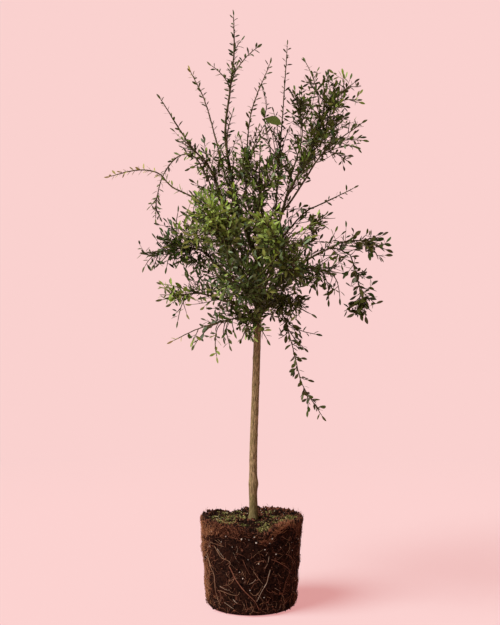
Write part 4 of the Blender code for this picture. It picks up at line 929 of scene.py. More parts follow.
def sweep(line, radii, sides):
    """Corners and faces of a tapering tube along a line, closed by a point at each end."""
    line = np.array(line, float)
    radii = np.array(radii, float)
    ahead = np.gradient(line, axis=0)
    ahead /= np.linalg.norm(ahead, axis=1)[:, None]
    across = np.cross(ahead[0], (0.31, 0.52, 0.80))
    turns = np.arange(sides) * math.tau / sides
    rings = []
    for direction, centre, radius in zip(ahead, line, radii):
        across = across - direction * across.dot(direction)
        across /= np.linalg.norm(across)
        up = np.cross(direction, across)
        spokes = np.outer(np.cos(turns), across) + np.outer(np.sin(turns), up)
        rings.append(centre + spokes * radius)
    corners = np.concatenate([*rings, line[:1], line[-1:] + ahead[-1:] * radii[-1] * 0.5])
    first, last = len(corners) - 2, len(corners) - 1
    faces = ring_faces(len(line), sides)
    end = (len(line) - 1) * sides
    for side in range(sides):
        after = (side + 1) % sides
        faces.append((after, side, first))
        faces.append((end + side, end + after, last))
    return corners, faces


# Lines, by the rule of the solids


def smooth_line(points, spacing):
    """Points about `spacing` apart on a Catmull-Rom curve through the given ones."""
    points = [Vector(point) for point in points]
    padded = [2 * points[0] - points[1], *points, 2 * points[-1] - points[-2]]
    line = [points[0]]
    for before, here, there, after in zip(padded, padded[1:], padded[2:], padded[3:]):
        steps = max(1, round((there - here).length / spacing))
        for step in range(1, steps + 1):
            t = step / steps
            line.append(0.5 * (
                2 * here + (there - before) * t
                + (2 * before - 5 * here + 4 * there - after) * t**2
                + (3 * here - before - 3 * there + after) * t**3
            ))
    return line


def bent_line(start, direction, tip, spacing):
    """A line that leaves `start` along `direction` and bends over to `tip`."""
    length = (tip - start).length
    knee = start + direction.normalized() * length * BEND_AT
    steps = max(2, round(length / spacing))
    return [
        start * (1 - t) ** 2 + knee * 2 * t * (1 - t) + tip * t**2
        for t in (step / steps for step in range(steps + 1))
    ]


def line_length(line):
    return sum((b - a).length for a, b in zip(line, line[1:]))


def at_share(line, share):
    """(point, direction) at a share of the line's length."""
    left = share * line_length(line)
    for a, b in zip(line, line[1:]):
        run = (b - a).length
        if left <= run:
            return a.lerp(b, left / run), (b - a).normalized()
        left -= run
    return line[-1].copy(), (line[-1] - line[-2]).normalized()


def tapered(line, root_radius, tip_radius, fall=1.0):
    """A radius for each point of the line, falling with the distance run, the later the lower `fall` is."""
    total = line_length(line)
    run = [0.0]
    for a, b in zip(line, line[1:]):
        run.append(run[-1] + (b - a).length)
    return [tip_radius + (root_radius - tip_radius) * max(0, 1 - r / total) ** fall for r in run]


def turned(direction, angle, turn):
    """`direction` tilted by `angle`, away towards the side that `turn` points to."""
    side = direction.orthogonal().normalized()
    side = Matrix.Rotation(turn, 3, direction) @ side
    return (direction * math.cos(angle) + side * math.sin(angle)).normalized()


def knobbly(line, radii, rng, lift):
    """The line and its radii with small kinks and swellings, as a twig has at its joints."""
    kinked = [line[0]]
    for point in line[1:-1]:
        kinked.append(point + Vector([rng.uniform(-lift, lift) for _ in range(3)]))
    kinked.append(line[-1])
    swollen = [radius * rng.uniform(*SWELLINGS) for radius in radii]
    return kinked, swollen


# Trunk and limbs


def trunk_radius(height):
    """The trunk's radius: an even taper, the root flare and the swelling of the graft."""
    fork = TRUNK_LINE[-1][2]
    rise = max(0, height - TRUNK_FOOT)
    taper = TRUNK_FOOT_RADIUS + (TRUNK_FORK_RADIUS - TRUNK_FOOT_RADIUS) * rise / (fork - TRUNK_FOOT)
    flare = FLARE_RADIUS * math.exp(-rise / FLARE_HEIGHT)
    swelling = UNION_SWELL * math.exp(-(((height - UNION_HEIGHT) / UNION_LENGTH) ** 2))
    return taper + flare + swelling


def bark_lift(place, angle, rise):
    """How far the bark stands out at a place on the trunk, and how dark a healed cut makes it there."""
    lift = 0.0
    for across, along, start, height in BARK_WAVES:
        wave = Vector((place.x * across, place.y * across, place.z * along + start))
        lift += height * noise.noise(wave)
    scar = 0.0
    for height, turn, reach, spread in KNOTS:
        around = (angle - math.radians(turn) + math.pi) % math.tau - math.pi
        far = math.hypot(around * trunk_radius(height), (place.z - height) * KNOT_SQUASH) / spread
        knot = math.exp(-far * far)
        wide = spread > WIDE_KNOT
        lift += reach * knot * (1 if wide else 1 - SCAR_HOLLOW * math.exp(-(far * SCAR_RING) ** 2))
        scar = max(scar, WIDE_KNOT_SHADE * knot if wide else knot)
    return lift * min(1, rise / BARK_EASE + BARK_LEFT), scar


def build_trunk(bark):
    """The trunk with its bark's relief. What comes back is its line and radii, for the limbs."""
    line = smooth_line(TRUNK_LINE, TRUNK_RING_GAP)
    corners, scars = [], []
    for point in line:
        radius = trunk_radius(point.z)
        for side in range(TRUNK_SIDES):
            angle = side * math.tau / TRUNK_SIDES
            out = Vector((math.cos(angle), math.sin(angle), 0))
            lift, scar = bark_lift(point + out * radius, angle, point.z - TRUNK_FOOT + BARK_EASE)
            corners.append(point + out * (radius + lift))
            scars.append(scar)
    faces = ring_faces(len(line), TRUNK_SIDES)
    faces.append(tuple(reversed(range(TRUNK_SIDES))))
    faces.append(tuple((len(line) - 1) * TRUNK_SIDES + side for side in range(TRUNK_SIDES)))
    mesh = bpy.data.meshes.new("trunk_bark")
    mesh.from_pydata(corners, [], faces)
    mark = mesh.attributes.new("scar", "FLOAT", "POINT")
    mark.data.foreach_set("value", scars)
    piece = finished("trunk_bark", mesh, bark)
    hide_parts("trunk")
    coarse = smooth_line(TRUNK_LINE, TRUNK_STEP)
    return coarse, [trunk_radius(point.z) for point in coarse]


def limb_line(limb, grown):
    """A limb's line and radii. Its root lies inside its parent, and swells to a collar."""
    parent_line, parent_radii = grown[limb.parent]
    place, direction = at_share(parent_line, limb.at)
    tip = Vector(limb.tip)
    middle = (place + tip) / 2 + Vector((0, 0, limb.bow * (tip - place).length))
    if limb.at == 1:
        points = [place - direction * LEAD, place + direction * LEAD, middle, tip]
        root_radius = parent_radii[-1] * LEADER_SHARE
        collar = 0.0
    else:
        points = [place, middle, tip]
        nearest = round(limb.at * (len(parent_radii) - 1))
        share = TRUNK_JOINT_SHARE if limb.parent == "trunk" else LIMB_JOINT_SHARE
        root_radius = parent_radii[nearest] * share
        collar = JOINT_COLLAR
    line = smooth_line(points, LIMB_STEP)
    radii = tapered(line, root_radius, limb.radius)
    bark_start = parent_radii[-1]
    shaped = []
    for point, radius in zip(line, radii):
        run = max(0, (point - line[0]).length - bark_start)
        shaped.append(radius * (1 + collar * math.exp(-run / COLLAR_LENGTH)))
    return line, shaped


def kind_of(limb):
    """Whether a limb is a bough or a branch."""
    return limb.name.split("_")[0]


def build_limbs(grown, bark, green_bark):
    """All the boughs as one piece and all the branches as another, with fine ridges and joints."""
    heaps = {"bough": Heap(), "branch": Heap()}
    for limb in LIMBS:
        line, radii = limb_line(limb, grown)
        grown[limb.name] = line, radii
        kinked, swollen = knobbly(line, radii, random.Random(limb.name), LIMB_KINK)
        heaps[kind_of(limb)].add(*sweep(kinked, swollen, LIMB_SIDES))
    boughs = heaps["bough"].piece("bough_bark", bark, "bark")
    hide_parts(*[limb.name for limb in LIMBS if limb.name.startswith("bough")])
    branches = heaps["branch"].piece("branch_bark", green_bark, "green_wood")
    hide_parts(*[limb.name for limb in LIMBS if limb.name.startswith("branch")])


# Crown


def grow_wood(heap, line, wood):
    """Thin wood of one kind along a line. What comes back is its radii."""
    radii = tapered(line, wood.root, wood.tip)
    heap.add(*sweep(line, radii, wood.sides))
    return radii


class Crown:
    """What grows on the limbs: wood of two ages, thorns, and the leaves of each tint."""

    def __init__(self):
        self.stems = Heap()
        self.twigs = Heap()
        self.wands = Heap()
        self.thorns = Heap()
        self.leaves = {tint: [] for tint in TINTS}


def mass_lines(mass, grown):
    """The mass's stem, and its arms, as lines with their radii."""
    parent_line, parent_radii = grown[mass.limb]
    if mass.limb == "trunk":
        start, _ = at_share(parent_line, SKIRT_ROOT)
        points = [start, *mass.via]
        root_radius = parent_radii[-1] * TRUNK_JOINT_SHARE * SKIRT_SHARE
    else:
        place, direction = at_share(parent_line, 1)
        points = [place - direction * STEM_SUNK, place + direction * LEAD, *mass.via]
        root_radius = parent_radii[-1]
    tip = short_of(points[-1], mass.tip, mass.habit.leaf)
    stem = smooth_line([*points, tip], STEM_STEP)
    lines = [(stem, tapered(stem, root_radius, STEM_TIP_RADIUS, STEM_FALL))]
    for share, arm_tip in mass.arms:
        root, heading = at_share(stem, share)
        arm = bent_line(root, heading, short_of(root, arm_tip, mass.habit.leaf), STEM_STEP)
        thickness = root_radius + (STEM_TIP_RADIUS - root_radius) * share
        arm_radius = max(thickness * LIMB_JOINT_SHARE, ARM_LEAST_RADIUS)
        lines.append((arm, tapered(arm, arm_radius, STEM_TIP_RADIUS, STEM_FALL)))
    return lines


def short_of(start, tip, leaf_length):
    """Where the wood stops, so that the leaf at its end reaches the tip."""
    tip = Vector(tip)
    return tip - (tip - Vector(start)).normalized() * TIP_LEAF * leaf_length * TIP_SHARE


def side_shoots(stem, rng, gap, bushy, reach):
    """(root, heading, angle, turn, length) of side shoots on the bushy part of the stem. Each is turned on
    by the golden angle and shorter than the last."""
    length = line_length(stem)
    turn = rng.uniform(0, math.tau)
    for number in range(int(length * bushy / gap)):
        share = (number + 0.5) * gap / length
        root, heading = at_share(stem, share)
        turn += GOLDEN_ANGLE
        long = reach * (1 - SHOOT_TAPER * share / bushy) * rng.uniform(*SHOOT_SIZES)
        yield root, heading, SHOOT_ANGLE * rng.uniform(*SHOOT_TURNS), turn, long


def share_at(point, ellipses):
    """The share written for the first ellipse that a point is seen in, on the plane through the trunk."""
    eye = Vector(CAMERA_PLACE)
    seen = eye + (point - eye) * (eye.y / (eye.y - point.y))
    for x, z, half_width, half_height, share in ellipses:
        if ((seen.x - x) / half_width) ** 2 + ((seen.z - z) / half_height) ** 2 < 1:
            return share
    return None


class Growth:
    """The shoots, twigs, leaves and thorns of one habit, kept within a box."""

    def __init__(self, crown, habit, rng, box, sprays):
        self.crown = crown
        self.habit = habit
        self.rng = rng
        self.low, self.high = box
        self.sprays = sprays

    def inside(self, point):
        return all(a - OVERHANG < c < b + OVERHANG for a, c, b in zip(self.low, point, self.high))

    def in_the_open(self, point):
        """Whether a point stands in one of the crown's openings, and isn't among the few that cross it."""
        crossing = share_at(point, OPENINGS)
        return crossing is not None and self.rng.random() >= crossing

    def deal(self, place):
        """The tint of one spray, by its place and its mass. In the lit patches the fresh tint is painted
        sunlight.
        """
        # In the sunlit patches on the front the spray takes the fresh tint: painted sunlight.
        fresh = share_at(place, SUNLIT_PATCHES)
        if fresh and place.y < SUNLIT_PATCH_BACK and self.rng.random() < fresh:
            return "fresh"
        return self.rng.choices(list(self.sprays), weights=list(self.sprays.values()))[0]

    def leaves_along(self, line, radii, tint, leaf, gap, thorns, pale_from=1.0):
        """Leaves and thorns by turns along a piece of wood, and one leaf at its tip. From a share of the
        length on they are pale new growth."""
        rng = self.rng
        length = line_length(line)
        turn = rng.uniform(0, math.tau)
        run = gap * rng.uniform(*LEAF_STARTS)
        while run < length - LEAF_LAST_GAP * gap:
            share = run / length
            root, heading = at_share(line, share)
            thick = radii[0] + (radii[-1] - radii[0]) * share
            turn += GOLDEN_ANGLE
            out = turned(heading, LEAF_ANGLE * rng.uniform(*LEAF_TURNS), turn)
            if share > pale_from:
                tint = "pale"
            size = leaf * rng.uniform(*LEAF_SIZES) * (1 - LEAF_FALL * share) * TINTS[tint].size
            if self.inside(root + out * size) and not self.in_the_open(root + out * size * LEAF_MIDDLE):
                self.side_leaf(root, heading, out, thick, size, tint)
            if rng.random() < thorns:
                point = turned(heading, math.radians(rng.uniform(*THORN_ANGLES)), turn + THORN_TURN)
                self.thorn(root, point, THORN_LENGTH * rng.uniform(*THORN_SIZES))
            run += gap * rng.uniform(*LEAF_GAPS)
        root, heading = at_share(line, 1)
        size = leaf * TIP_LEAF_SIZE
        if self.inside(root + heading * size):
            start = root - heading * LEAF_SUNK
            self.crown.leaves[tint].append((start, heading, heading.orthogonal(), size, self.habit.width))

    def side_leaf(self, root, heading, out, thick, size, tint):
        """A leaf that stands on the wood's side and faces outwards and up, each in its own way."""
        rng = self.rng
        outward = Vector((root.x, root.y, 0)).normalized()
        facing = outward * rng.uniform(*LEAF_OUTWARD) + Vector((0, 0, rng.uniform(*LEAF_UPWARD)))
        facing += Vector([rng.uniform(-LEAF_TILT, LEAF_TILT) for _ in range(3)])
        start = root + (out - heading * out.dot(heading)).normalized() * thick * LEAF_SET
        self.crown.leaves[tint].append((start, out, facing, size, self.habit.width))

    def thorn(self, root, direction, length):
        tip = root + direction * length
        if self.inside(tip):
            thick = [THORN_RADIUS, THORN_RADIUS * THORN_MIDDLE, THORN_POINT]
            self.crown.thorns.add(*sweep([root, root.lerp(tip, 0.5), tip], thick, THORN_SIDES))

    def shoot(self, root, heading, angle, turn, long):
        """A side shoot with its leaves and twigs. It's turned or shortened until it ends within the box."""
        rng, habit = self.rng, self.habit
        for share, spin in SHOOT_TRIES:
            out = turned(heading, angle, turn + spin)
            tip = root + (out + Vector((0, 0, SHOOT_RISE))) * long * share
            if self.inside(tip) and not self.in_the_open(tip):
                break
        else:
            return
        tint = self.deal(tip)
        line = bent_line(root, out, tip, SHOOT_WOOD.step)
        radii = tapered(line, SHOOT_WOOD.root, SHOOT_WOOD.tip)
        kinked, swollen = knobbly(line, radii, rng, SHOOT_KINK)
        self.crown.twigs.add(*sweep(kinked, swollen, SHOOT_WOOD.sides))
        self.leaves_along(line, radii, tint, habit.leaf, habit.leaf_gap, habit.thorns * SHOOT_THORNS)
        length = line_length(line)
        twig_turn = rng.uniform(0, math.tau)
        for step in range(int(length * TWIG_SHARE / habit.twig_gap)):
            place, way = at_share(line, (step + TWIG_START) * habit.twig_gap / length)
            twig_turn += GOLDEN_ANGLE
            self.twig(place, way, twig_turn, tint)

    def twig(self, place, way, turn, tint):
        """A twig with its leaves, where it keeps to the box and out of the openings."""
        rng, habit = self.rng, self.habit
        away = turned(way, math.radians(rng.uniform(*TWIG_ANGLES)), turn)
        end = place + (away + Vector((0, 0, TWIG_RISE))) * habit.twig * rng.uniform(*TWIG_SIZES)
        if self.inside(end) and not self.in_the_open(end):
            line = bent_line(place, away, end, TWIG_WOOD.step)
            radii = grow_wood(self.crown.twigs, line, TWIG_WOOD)
            # A few twigs take the bluish tint, whose pale blades stand in partly for glints of light:
            # painted highlights.
            spray = "blue" if rng.random() < BLUE_GLINT_TWIGS else tint
            leaf = habit.leaf * TWIG_LEAF
            self.leaves_along(line, radii, spray, leaf, habit.leaf_gap, habit.thorns * TWIG_THORNS)


def grow_wands(mass, stem, growth):
    """Long straight shoots with few leaves, that stand out across the leafy ones."""
    rng = growth.rng
    turn = rng.uniform(0, math.tau)
    for _ in range(WANDS.get(mass.name, 0)):
        root, heading = at_share(stem, rng.uniform(*WAND_ROOTS))
        turn += GOLDEN_ANGLE
        out = turned(heading, math.radians(rng.uniform(*WAND_ANGLES)), turn)
        length = rng.uniform(*WAND_LENGTHS)
        for share in WAND_TRIES:
            tip = root + (out + Vector((0, 0, WAND_RISE))) * length * share
            if growth.inside(tip) and not growth.in_the_open(tip):
                line = bent_line(root, out, tip, WAND_WOOD.step)
                radii = grow_wood(growth.crown.wands, line, WAND_WOOD)
                tint = rng.choice(WAND_TINTS)
                leaf = growth.habit.leaf * WAND_LEAF
                growth.leaves_along(line, radii, tint, leaf, WAND_LEAF_GAP, WAND_THORNS)
                break


def grow_front_shoots(mass, stem, growth):
    """The mass's young shoots with a place of their own, each from its share of the stem."""
    for name, share, points, wood, tint in FRONT_SHOOTS:
        if name == mass.name:
            root, _ = at_share(stem, share)
            line = smooth_line([root, *points], FRONT_WOOD.step)
            radii = grow_wood(getattr(growth.crown, wood), line, FRONT_WOOD)
            # The bluish leaves on the front stand in partly for glints of light: painted highlights.
            leaf = growth.habit.leaf * (FRONT_BLUE_GLINT_LEAF if tint == "blue" else FRONT_LEAF)
            growth.leaves_along(line, radii, tint, leaf, WAND_LEAF_GAP, WAND_THORNS)


def grow_mass(mass, lines, crown):
    """Side shoots on the mass's stem and arms, and leaves on all of them, within its solid's reach."""
    rng = random.Random(mass.name)
    habit = mass.habit
    growth = Growth(crown, habit, rng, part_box(mass.name), SPRAYS.get(mass.name, SPRAYS[""]))
    for number, (line, radii) in enumerate(lines):
        is_arm = number > 0
        kinked, swollen = knobbly(line, radii, rng, STEM_KINK)
        crown.stems.add(*sweep(kinked, swollen, STEM_SIDES))
        tint = growth.deal(line[-1])
        pale_from = 1.0 if is_arm else PALE_TIPS.get(mass.name, 1.0)
        growth.leaves_along(line, radii, tint, habit.leaf, habit.leaf_gap, habit.thorns, pale_from)
        bushy = mass.bushy * (ARM_BUSHY if is_arm else 1)
        reach = mass.reach * (ARM_REACH if is_arm else 1)
        for shoot in side_shoots(line, rng, habit.shoot_gap, bushy, reach):
            growth.shoot(*shoot)
    grow_wands(mass, lines[0][0], growth)
    grow_front_shoots(mass, lines[0][0], growth)


def grow_spurs(limb, grown, crown):
    """Leafy side shoots along the outer part of a limb, within the crown."""
    rng = random.Random(limb.name + " spurs")
    line, _ = grown[limb.name]
    low, high = CAD_BOX
    box = Vector((low.x, low.y, SPUR_FLOOR)), high
    # The sunny limbs' shoots are dealt lighter tints, partly as painted sunlight.
    growth = Growth(crown, SPURS, rng, box, SPRAYS["sunny" if limb.name in SUNNY_LIMBS else ""])
    gap = SPURS.shoot_gap * SPUR_SPACING.get(limb.name, 1)
    length = line_length(line)
    turn = rng.uniform(0, math.tau)
    run = length * SPUR_START[kind_of(limb)]
    while run < length:
        root, heading = at_share(line, run / length)
        turn += GOLDEN_ANGLE
        angle = SHOOT_ANGLE * rng.uniform(*SHOOT_TURNS)
        growth.shoot(root, heading, angle, turn, SPUR_REACH * rng.uniform(*SPUR_SIZES))
        run += gap * rng.uniform(*SPUR_GAPS)


def leaf_copies(leaves, rng):
    """Corners of all the leaves of one tint, as an array, and the faces that each one has."""
    roots, along, facing, lengths, widths = (np.array(values, float) for values in zip(*leaves))
    across = np.cross(along, facing)
    across /= np.linalg.norm(across, axis=1)[:, None]
    up = np.cross(across, along)
    fold = rng.uniform(*LEAF_FOLDS, len(leaves)) * LEAF_FOLD
    curl = rng.uniform(*LEAF_CURLS, len(leaves)) * LEAF_CURL
    width = rng.uniform(*LEAF_WIDTHS, len(leaves)) * widths / 2
    spots = [(0.0, 0.0)]
    for share, breadth in LEAF_STATIONS:
        spots += [(share, 0.0), (share, breadth), (share, -breadth)]
    spots.append((1.0, 0.0))
    corners = np.zeros((len(leaves), len(spots), 3))
    for index, (share, breadth) in enumerate(spots):
        rise = fold * abs(breadth) * width - curl * share**2
        corners[:, index] = (
            roots + along * (lengths * share)[:, None]
            + across * (lengths * width * breadth)[:, None]
            + up * (lengths * rise)[:, None]
        )
    faces = [(0, 1, 2), (0, 3, 1)]
    for station in range(len(LEAF_STATIONS) - 1):
        mid, left, right = (1 + station * 3 + k for k in range(3))
        faces += [(mid, mid + 3, left + 3, left), (mid, right, right + 3, mid + 3)]
    mid, left, right = (1 + (len(LEAF_STATIONS) - 1) * 3 + k for k in range(3))
    faces += [(mid, len(spots) - 1, left), (mid, right, len(spots) - 1)]
    return corners, faces


def build_crown(grown, materials):
    crown = Crown()
    for mass in MASSES:
        grow_mass(mass, mass_lines(mass, grown), crown)
    for limb in LIMBS:
        grow_spurs(limb, grown, crown)
    for foot, tip, width, facing, tint in LARGE_LEAVES:
        way = Vector(tip) - Vector(foot)
        crown.leaves[tint].append((Vector(foot), way.normalized(), Vector(facing), way.length, width))
    stems = crown.stems.piece("stems", materials["green_wood"], "green_wood")
    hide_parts(*[mass.name for mass in MASSES])
    crown.twigs.piece("twigs", materials["twig"], "green_wood")
    crown.wands.piece("wands", materials["wand"], "green_wood")
    crown.thorns.piece("thorns", materials["thorn"], "green_wood")
    rng = np.random.default_rng(7)
    for tint, leaves in crown.leaves.items():
        copies_piece("leaves_" + tint, leaf_copies(leaves, rng), materials["leaf_" + tint], "foliage")


# Root ball


def front_way(angle):
    """The level direction at an angle round from the front towards +X."""
    return Vector((math.sin(angle), -math.cos(angle), 0))


def side_radius(height):
    return BALL_FOOT_RADIUS + (BALL_TOP_RADIUS - BALL_FOOT_RADIUS) * height / BALL_HEIGHT


def soil_height(radius):
    """How high the ball's top is at a distance from its middle. It dips a little round the trunk."""
    return BALL_HEIGHT - SOIL_DIP + SOIL_DIP * max(0, (radius - DIP_FLAT) / DIP_SLOPE) ** 2


def sunk(point, place, width, depth):
    """How far a point sinks where the rim is bitten or worn about a place."""
    near = math.exp(-((point.x - place.x) ** 2 + (point.y - place.y) ** 2) / width**2)
    return depth * near * max(0, min(1, (point.z - FALL_START) / FALL_LENGTH))


def roughened(point):
    """A point of the root ball's turned form, moved as in crumbling soil, as in the solid."""
    radius = math.hypot(point.x, point.y)
    upper = point.z > BALL_HEIGHT / 2
    if point.z < FLAT_UNDERSIDE or (upper and radius < SOIL_PLATE_RADIUS * PLATE_MARGIN):
        return point
    lump = noise.noise(point * BALL_ROUGH_SCALE) * BALL_ROUGHNESS
    ease = min(1, point.z / SIDE_EASE)
    out = Vector((point.x, point.y, 0)).normalized()
    bite_width = BITE_STEEP_WIDTH if point.x > BITE_PLACE.x else BITE_WIDTH
    fall = sunk(point, BITE_PLACE, bite_width, BITE_DEPTH)
    fall += sunk(point, WORN_PLACE, WORN_WIDTH, WORN_DEPTH)
    on_top = 1.0 if radius < BALL_TOP_RADIUS - TOP_EDGE and upper else SIDE_ROUGHNESS
    outward = out * lump * ease * (1 + SIDE_ROUGHNESS - on_top)
    return point + outward + Vector((0, 0, lump * TOP_ROUGHNESS * on_top * ease - fall))


def side_point(angle, height):
    """A point on the root ball's side, and the way out of it."""
    out = front_way(angle)
    return roughened(out * side_radius(height) + Vector((0, 0, height))), out


def top_point(angle, radius):
    """A point on the root ball's top."""
    return roughened(front_way(angle) * radius + Vector((0, 0, soil_height(radius))))


def ball_profile():
    """Half the root ball's outline in short steps, from the top's middle over the rim and in under it."""
    profile = []
    for step in range(TOP_STEPS + 1):
        radius = (BALL_TOP_RADIUS - RIM_ROUND) * step / TOP_STEPS
        profile.append((radius, soil_height(radius)))
    for step in range(1, RIM_STEPS + 1):
        angle = step * math.pi / (2 * (RIM_STEPS + 1))
        profile.append((
            BALL_TOP_RADIUS - RIM_ROUND + RIM_ROUND * math.sin(angle),
            BALL_HEIGHT - RIM_ROUND + RIM_ROUND * math.cos(angle),
        ))
    for step in range(SIDE_STEPS + 1):
        drop = (BALL_FOOT_ROUND - BALL_HEIGHT + RIM_ROUND) * step / SIDE_STEPS
        height = (BALL_HEIGHT - RIM_ROUND) + drop
        profile.append((side_radius(height), height))
    for step in range(1, FOOT_STEPS + 1):
        angle = step * math.pi / (2 * FOOT_STEPS)
        profile.append((
            BALL_FOOT_RADIUS - BALL_FOOT_ROUND * (1 - math.cos(angle)),
            BALL_FOOT_ROUND * (1 - math.sin(angle)),
        ))
    return profile + [(BALL_FOOT_RADIUS * share, 0) for share in FOOT_RINGS]


def crumbled(point, outward):
    """Fine crumbs and pits on the roughened soil."""
    coarse = noise.noise(point * LUMP_SCALE) * LUMP_HEIGHT
    crumbs = (CRUMB_EDGE - noise.voronoi(point * CRUMB_SCALE)[0][0]) * CRUMB_HEIGHT
    grit = noise.noise(point * GRIT_SCALE) * GRIT_HEIGHT
    ease = min(1, point.z / SKIN_EASE)
    return point + outward * (coarse + crumbs + grit - SKIN_SINK) * ease


def build_soil(soil):
    """The root ball's skin, turned from its outline and crumbled, with its foot left flat."""
    profile = ball_profile()
    corners = []
    for number, (radius, height) in enumerate(profile):
        before, after = profile[max(0, number - 1)], profile[min(len(profile) - 1, number + 1)]
        run, drop = after[0] - before[0], after[1] - before[1]
        size = math.hypot(run, drop)
        for side in range(BALL_SIDES):
            angle = side * math.tau / BALL_SIDES
            out = Vector((math.cos(angle), math.sin(angle), 0))
            place = roughened(out * radius + Vector((0, 0, height)))
            if height > 0:
                place = crumbled(place, (out * -drop + Vector((0, 0, run))) / size)
            corners.append(place)
    # The rings run downwards, so each face is turned over.
    faces = [(a, d, c, b) for a, b, c, d in ring_faces(len(profile), BALL_SIDES)]
    mesh = bpy.data.meshes.new("root_ball_soil")
    mesh.from_pydata(corners, [], faces)
    shape = bmesh.new()
    shape.from_mesh(mesh)
    bmesh.ops.remove_doubles(shape, verts=shape.verts, dist=1e-6)
    shape.to_mesh(mesh)
    shape.free()
    piece = finished("root_ball_soil", mesh, soil)
    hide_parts("root_ball")


def named_way(way):
    """A root's way in short even steps, as (angle, height)."""
    spread = [(math.radians(angle), (height + ROOT_LIFT) * ROOT_WIND, 0) for angle, height in way]
    return [(point.x, point.y / ROOT_WIND) for point in smooth_line(spread, ROOT_STEP)]


def wandering_way(angle, height, heading, length, kind, rng):
    """The way of a root that bends as it goes, until it would leave the ball's side."""
    bend = rng.uniform(-kind.bend, kind.bend)
    way = []
    for _ in range(int(length / kind.step)):
        way.append((angle, height))
        heading += bend + rng.uniform(-ROOT_WOBBLE, ROOT_WOBBLE)
        angle += math.cos(heading) * kind.step / ROOT_TURN_RADIUS
        height += math.sin(heading) * kind.step
        if not ROOT_LOWEST < height < ROOT_HIGHEST:
            break
    return way


def build_roots(materials):
    """Roots that run over the ball's side: the named ones on the front, and wandering ones all round."""
    rng = random.Random("roots")
    heaps = {colour: Heap() for colour in ROOT_COLOURS}
    for radius, colour, way in ROOTS:
        lay_root(heaps[colour], named_way(way), radius, rng)
    for kind in (THICK_ROOTS, FINE_ROOTS):
        for _ in range(kind.count):
            angle = rng.uniform(0, math.tau)
            height = ROOT_SPREAD * rng.random() ** ROOT_LOWNESS + ROOT_LOWEST
            heading = rng.choice((-1, 1)) * rng.uniform(*ROOT_SLOPES)
            length = rng.uniform(*kind.lengths)
            radius = rng.choice(kind.radii)
            if kind is THICK_ROOTS and math.cos(angle) > FRONT_ROOTS:
                continue
            way = wandering_way(angle, height, heading, length, kind, rng)
            if len(way) >= ROOT_LEAST_POINTS:
                colour = rng.choices(list(ROOT_COLOURS), list(ROOT_COLOURS.values()))[0]
                lay_root(heaps[colour], way, radius, rng)
    for colour, heap in heaps.items():
        heap.piece("roots_" + colour, materials["root_" + colour], "soil")


def lay_root(heap, way, radius, rng):
    """One root along a way over the side, rising and sinking a little as it goes."""
    line, radii = [], []
    phase = rng.uniform(0, math.tau)
    for number, (angle, height) in enumerate(way):
        place, out = side_point(angle, height)
        wave = math.sin(phase + number * ROOT_WAVE)
        line.append(place + out * (ROOT_CLEAR + radius * (0.5 + 0.7 * wave)))
        share = number / (len(way) - 1)
        radii.append(radius * (1 - ROOT_THINNING * share) * (ROOT_START if number == 0 else 1))
    heap.add(*sweep(line, radii, ROOT_SIDES))


def build_coir(materials):
    """Short coarse fibres matted over the side, thickest at the rim and on the flanks."""
    rng = random.Random("coir")
    heaps = {"dark": Heap(), "light": Heap(), "red": Heap()}
    for _ in range(FIBRES):
        angle = rng.uniform(0, math.tau)
        at_rim = rng.random() < FIBRES_AT_RIM
        height = rng.uniform(*(RIM_BAND if at_rim else SIDE_BAND))
        flank = abs(math.sin(angle))
        if at_rim and math.cos(angle) > FRONT_EDGE and height < rng.uniform(*BARE_FRONT):
            continue
        if not at_rim and rng.random() > FRONT_FIBRES + (1 - FRONT_FIBRES) * flank**4:
            continue
        upright = flank > FLANK and not at_rim
        lean = rng.gauss(math.pi / 2, UPRIGHT_SPREAD) if upright else rng.uniform(0, math.pi)
        # More light fibres on the left flank: coir that is there, painted lighter where the key light
        # falls.
        light = LIGHT_FIBRES_SUNLIT_LEFT if math.sin(angle) < -FLANK else LIGHT_FIBRES
        lay_fibre(heaps["light" if rng.random() < light else "dark"], angle, height, lean, rng)
    for degrees, spread, low, high, count, colour in TUFTS:
        for _ in range(count):
            angle = math.radians(degrees + rng.gauss(0, spread * TUFT_SPREAD))
            lay_fibre(heaps[colour], angle, rng.uniform(low, high), rng.uniform(0, math.pi), rng)
    for colour, heap in heaps.items():
        heap.piece("coir_" + colour, materials["coir_" + colour], "soil")


def lay_fibre(heap, angle, height, lean, rng):
    """One bent fibre that clings to the ball's side."""
    place, out = side_point(angle, height)
    along = Vector((math.cos(angle), math.sin(angle), 0))
    way = along * math.cos(lean) + Vector((0, 0, math.sin(lean)))
    length = rng.uniform(*FIBRE_LENGTHS)
    lift = rng.uniform(*FIBRE_LIFTS)
    sag = Vector([rng.uniform(-FIBRE_SAG, FIBRE_SAG) for _ in range(3)])
    start = place + out * lift * FIBRE_FOOT
    tip = start + way * length
    if tip.z < FIBRE_LOWEST:
        return
    middle = (start + tip) / 2 + sag * 0.6 + out * lift
    reach = side_radius(min(tip.z, BALL_HEIGHT))
    flat = Vector((tip.x, tip.y, 0))
    tip += flat.normalized() * (reach + lift * FIBRE_TIP - flat.length)
    before = start.lerp(middle, FIBRE_BEND) + sag * 0.12
    line = [start, before, middle, middle.lerp(tip, FIBRE_BEND), tip]
    radius = rng.uniform(*FIBRE_RADII)
    heap.add(*sweep(line, [radius * share for share in FIBRE_TAPER], FIBRE_SIDES))


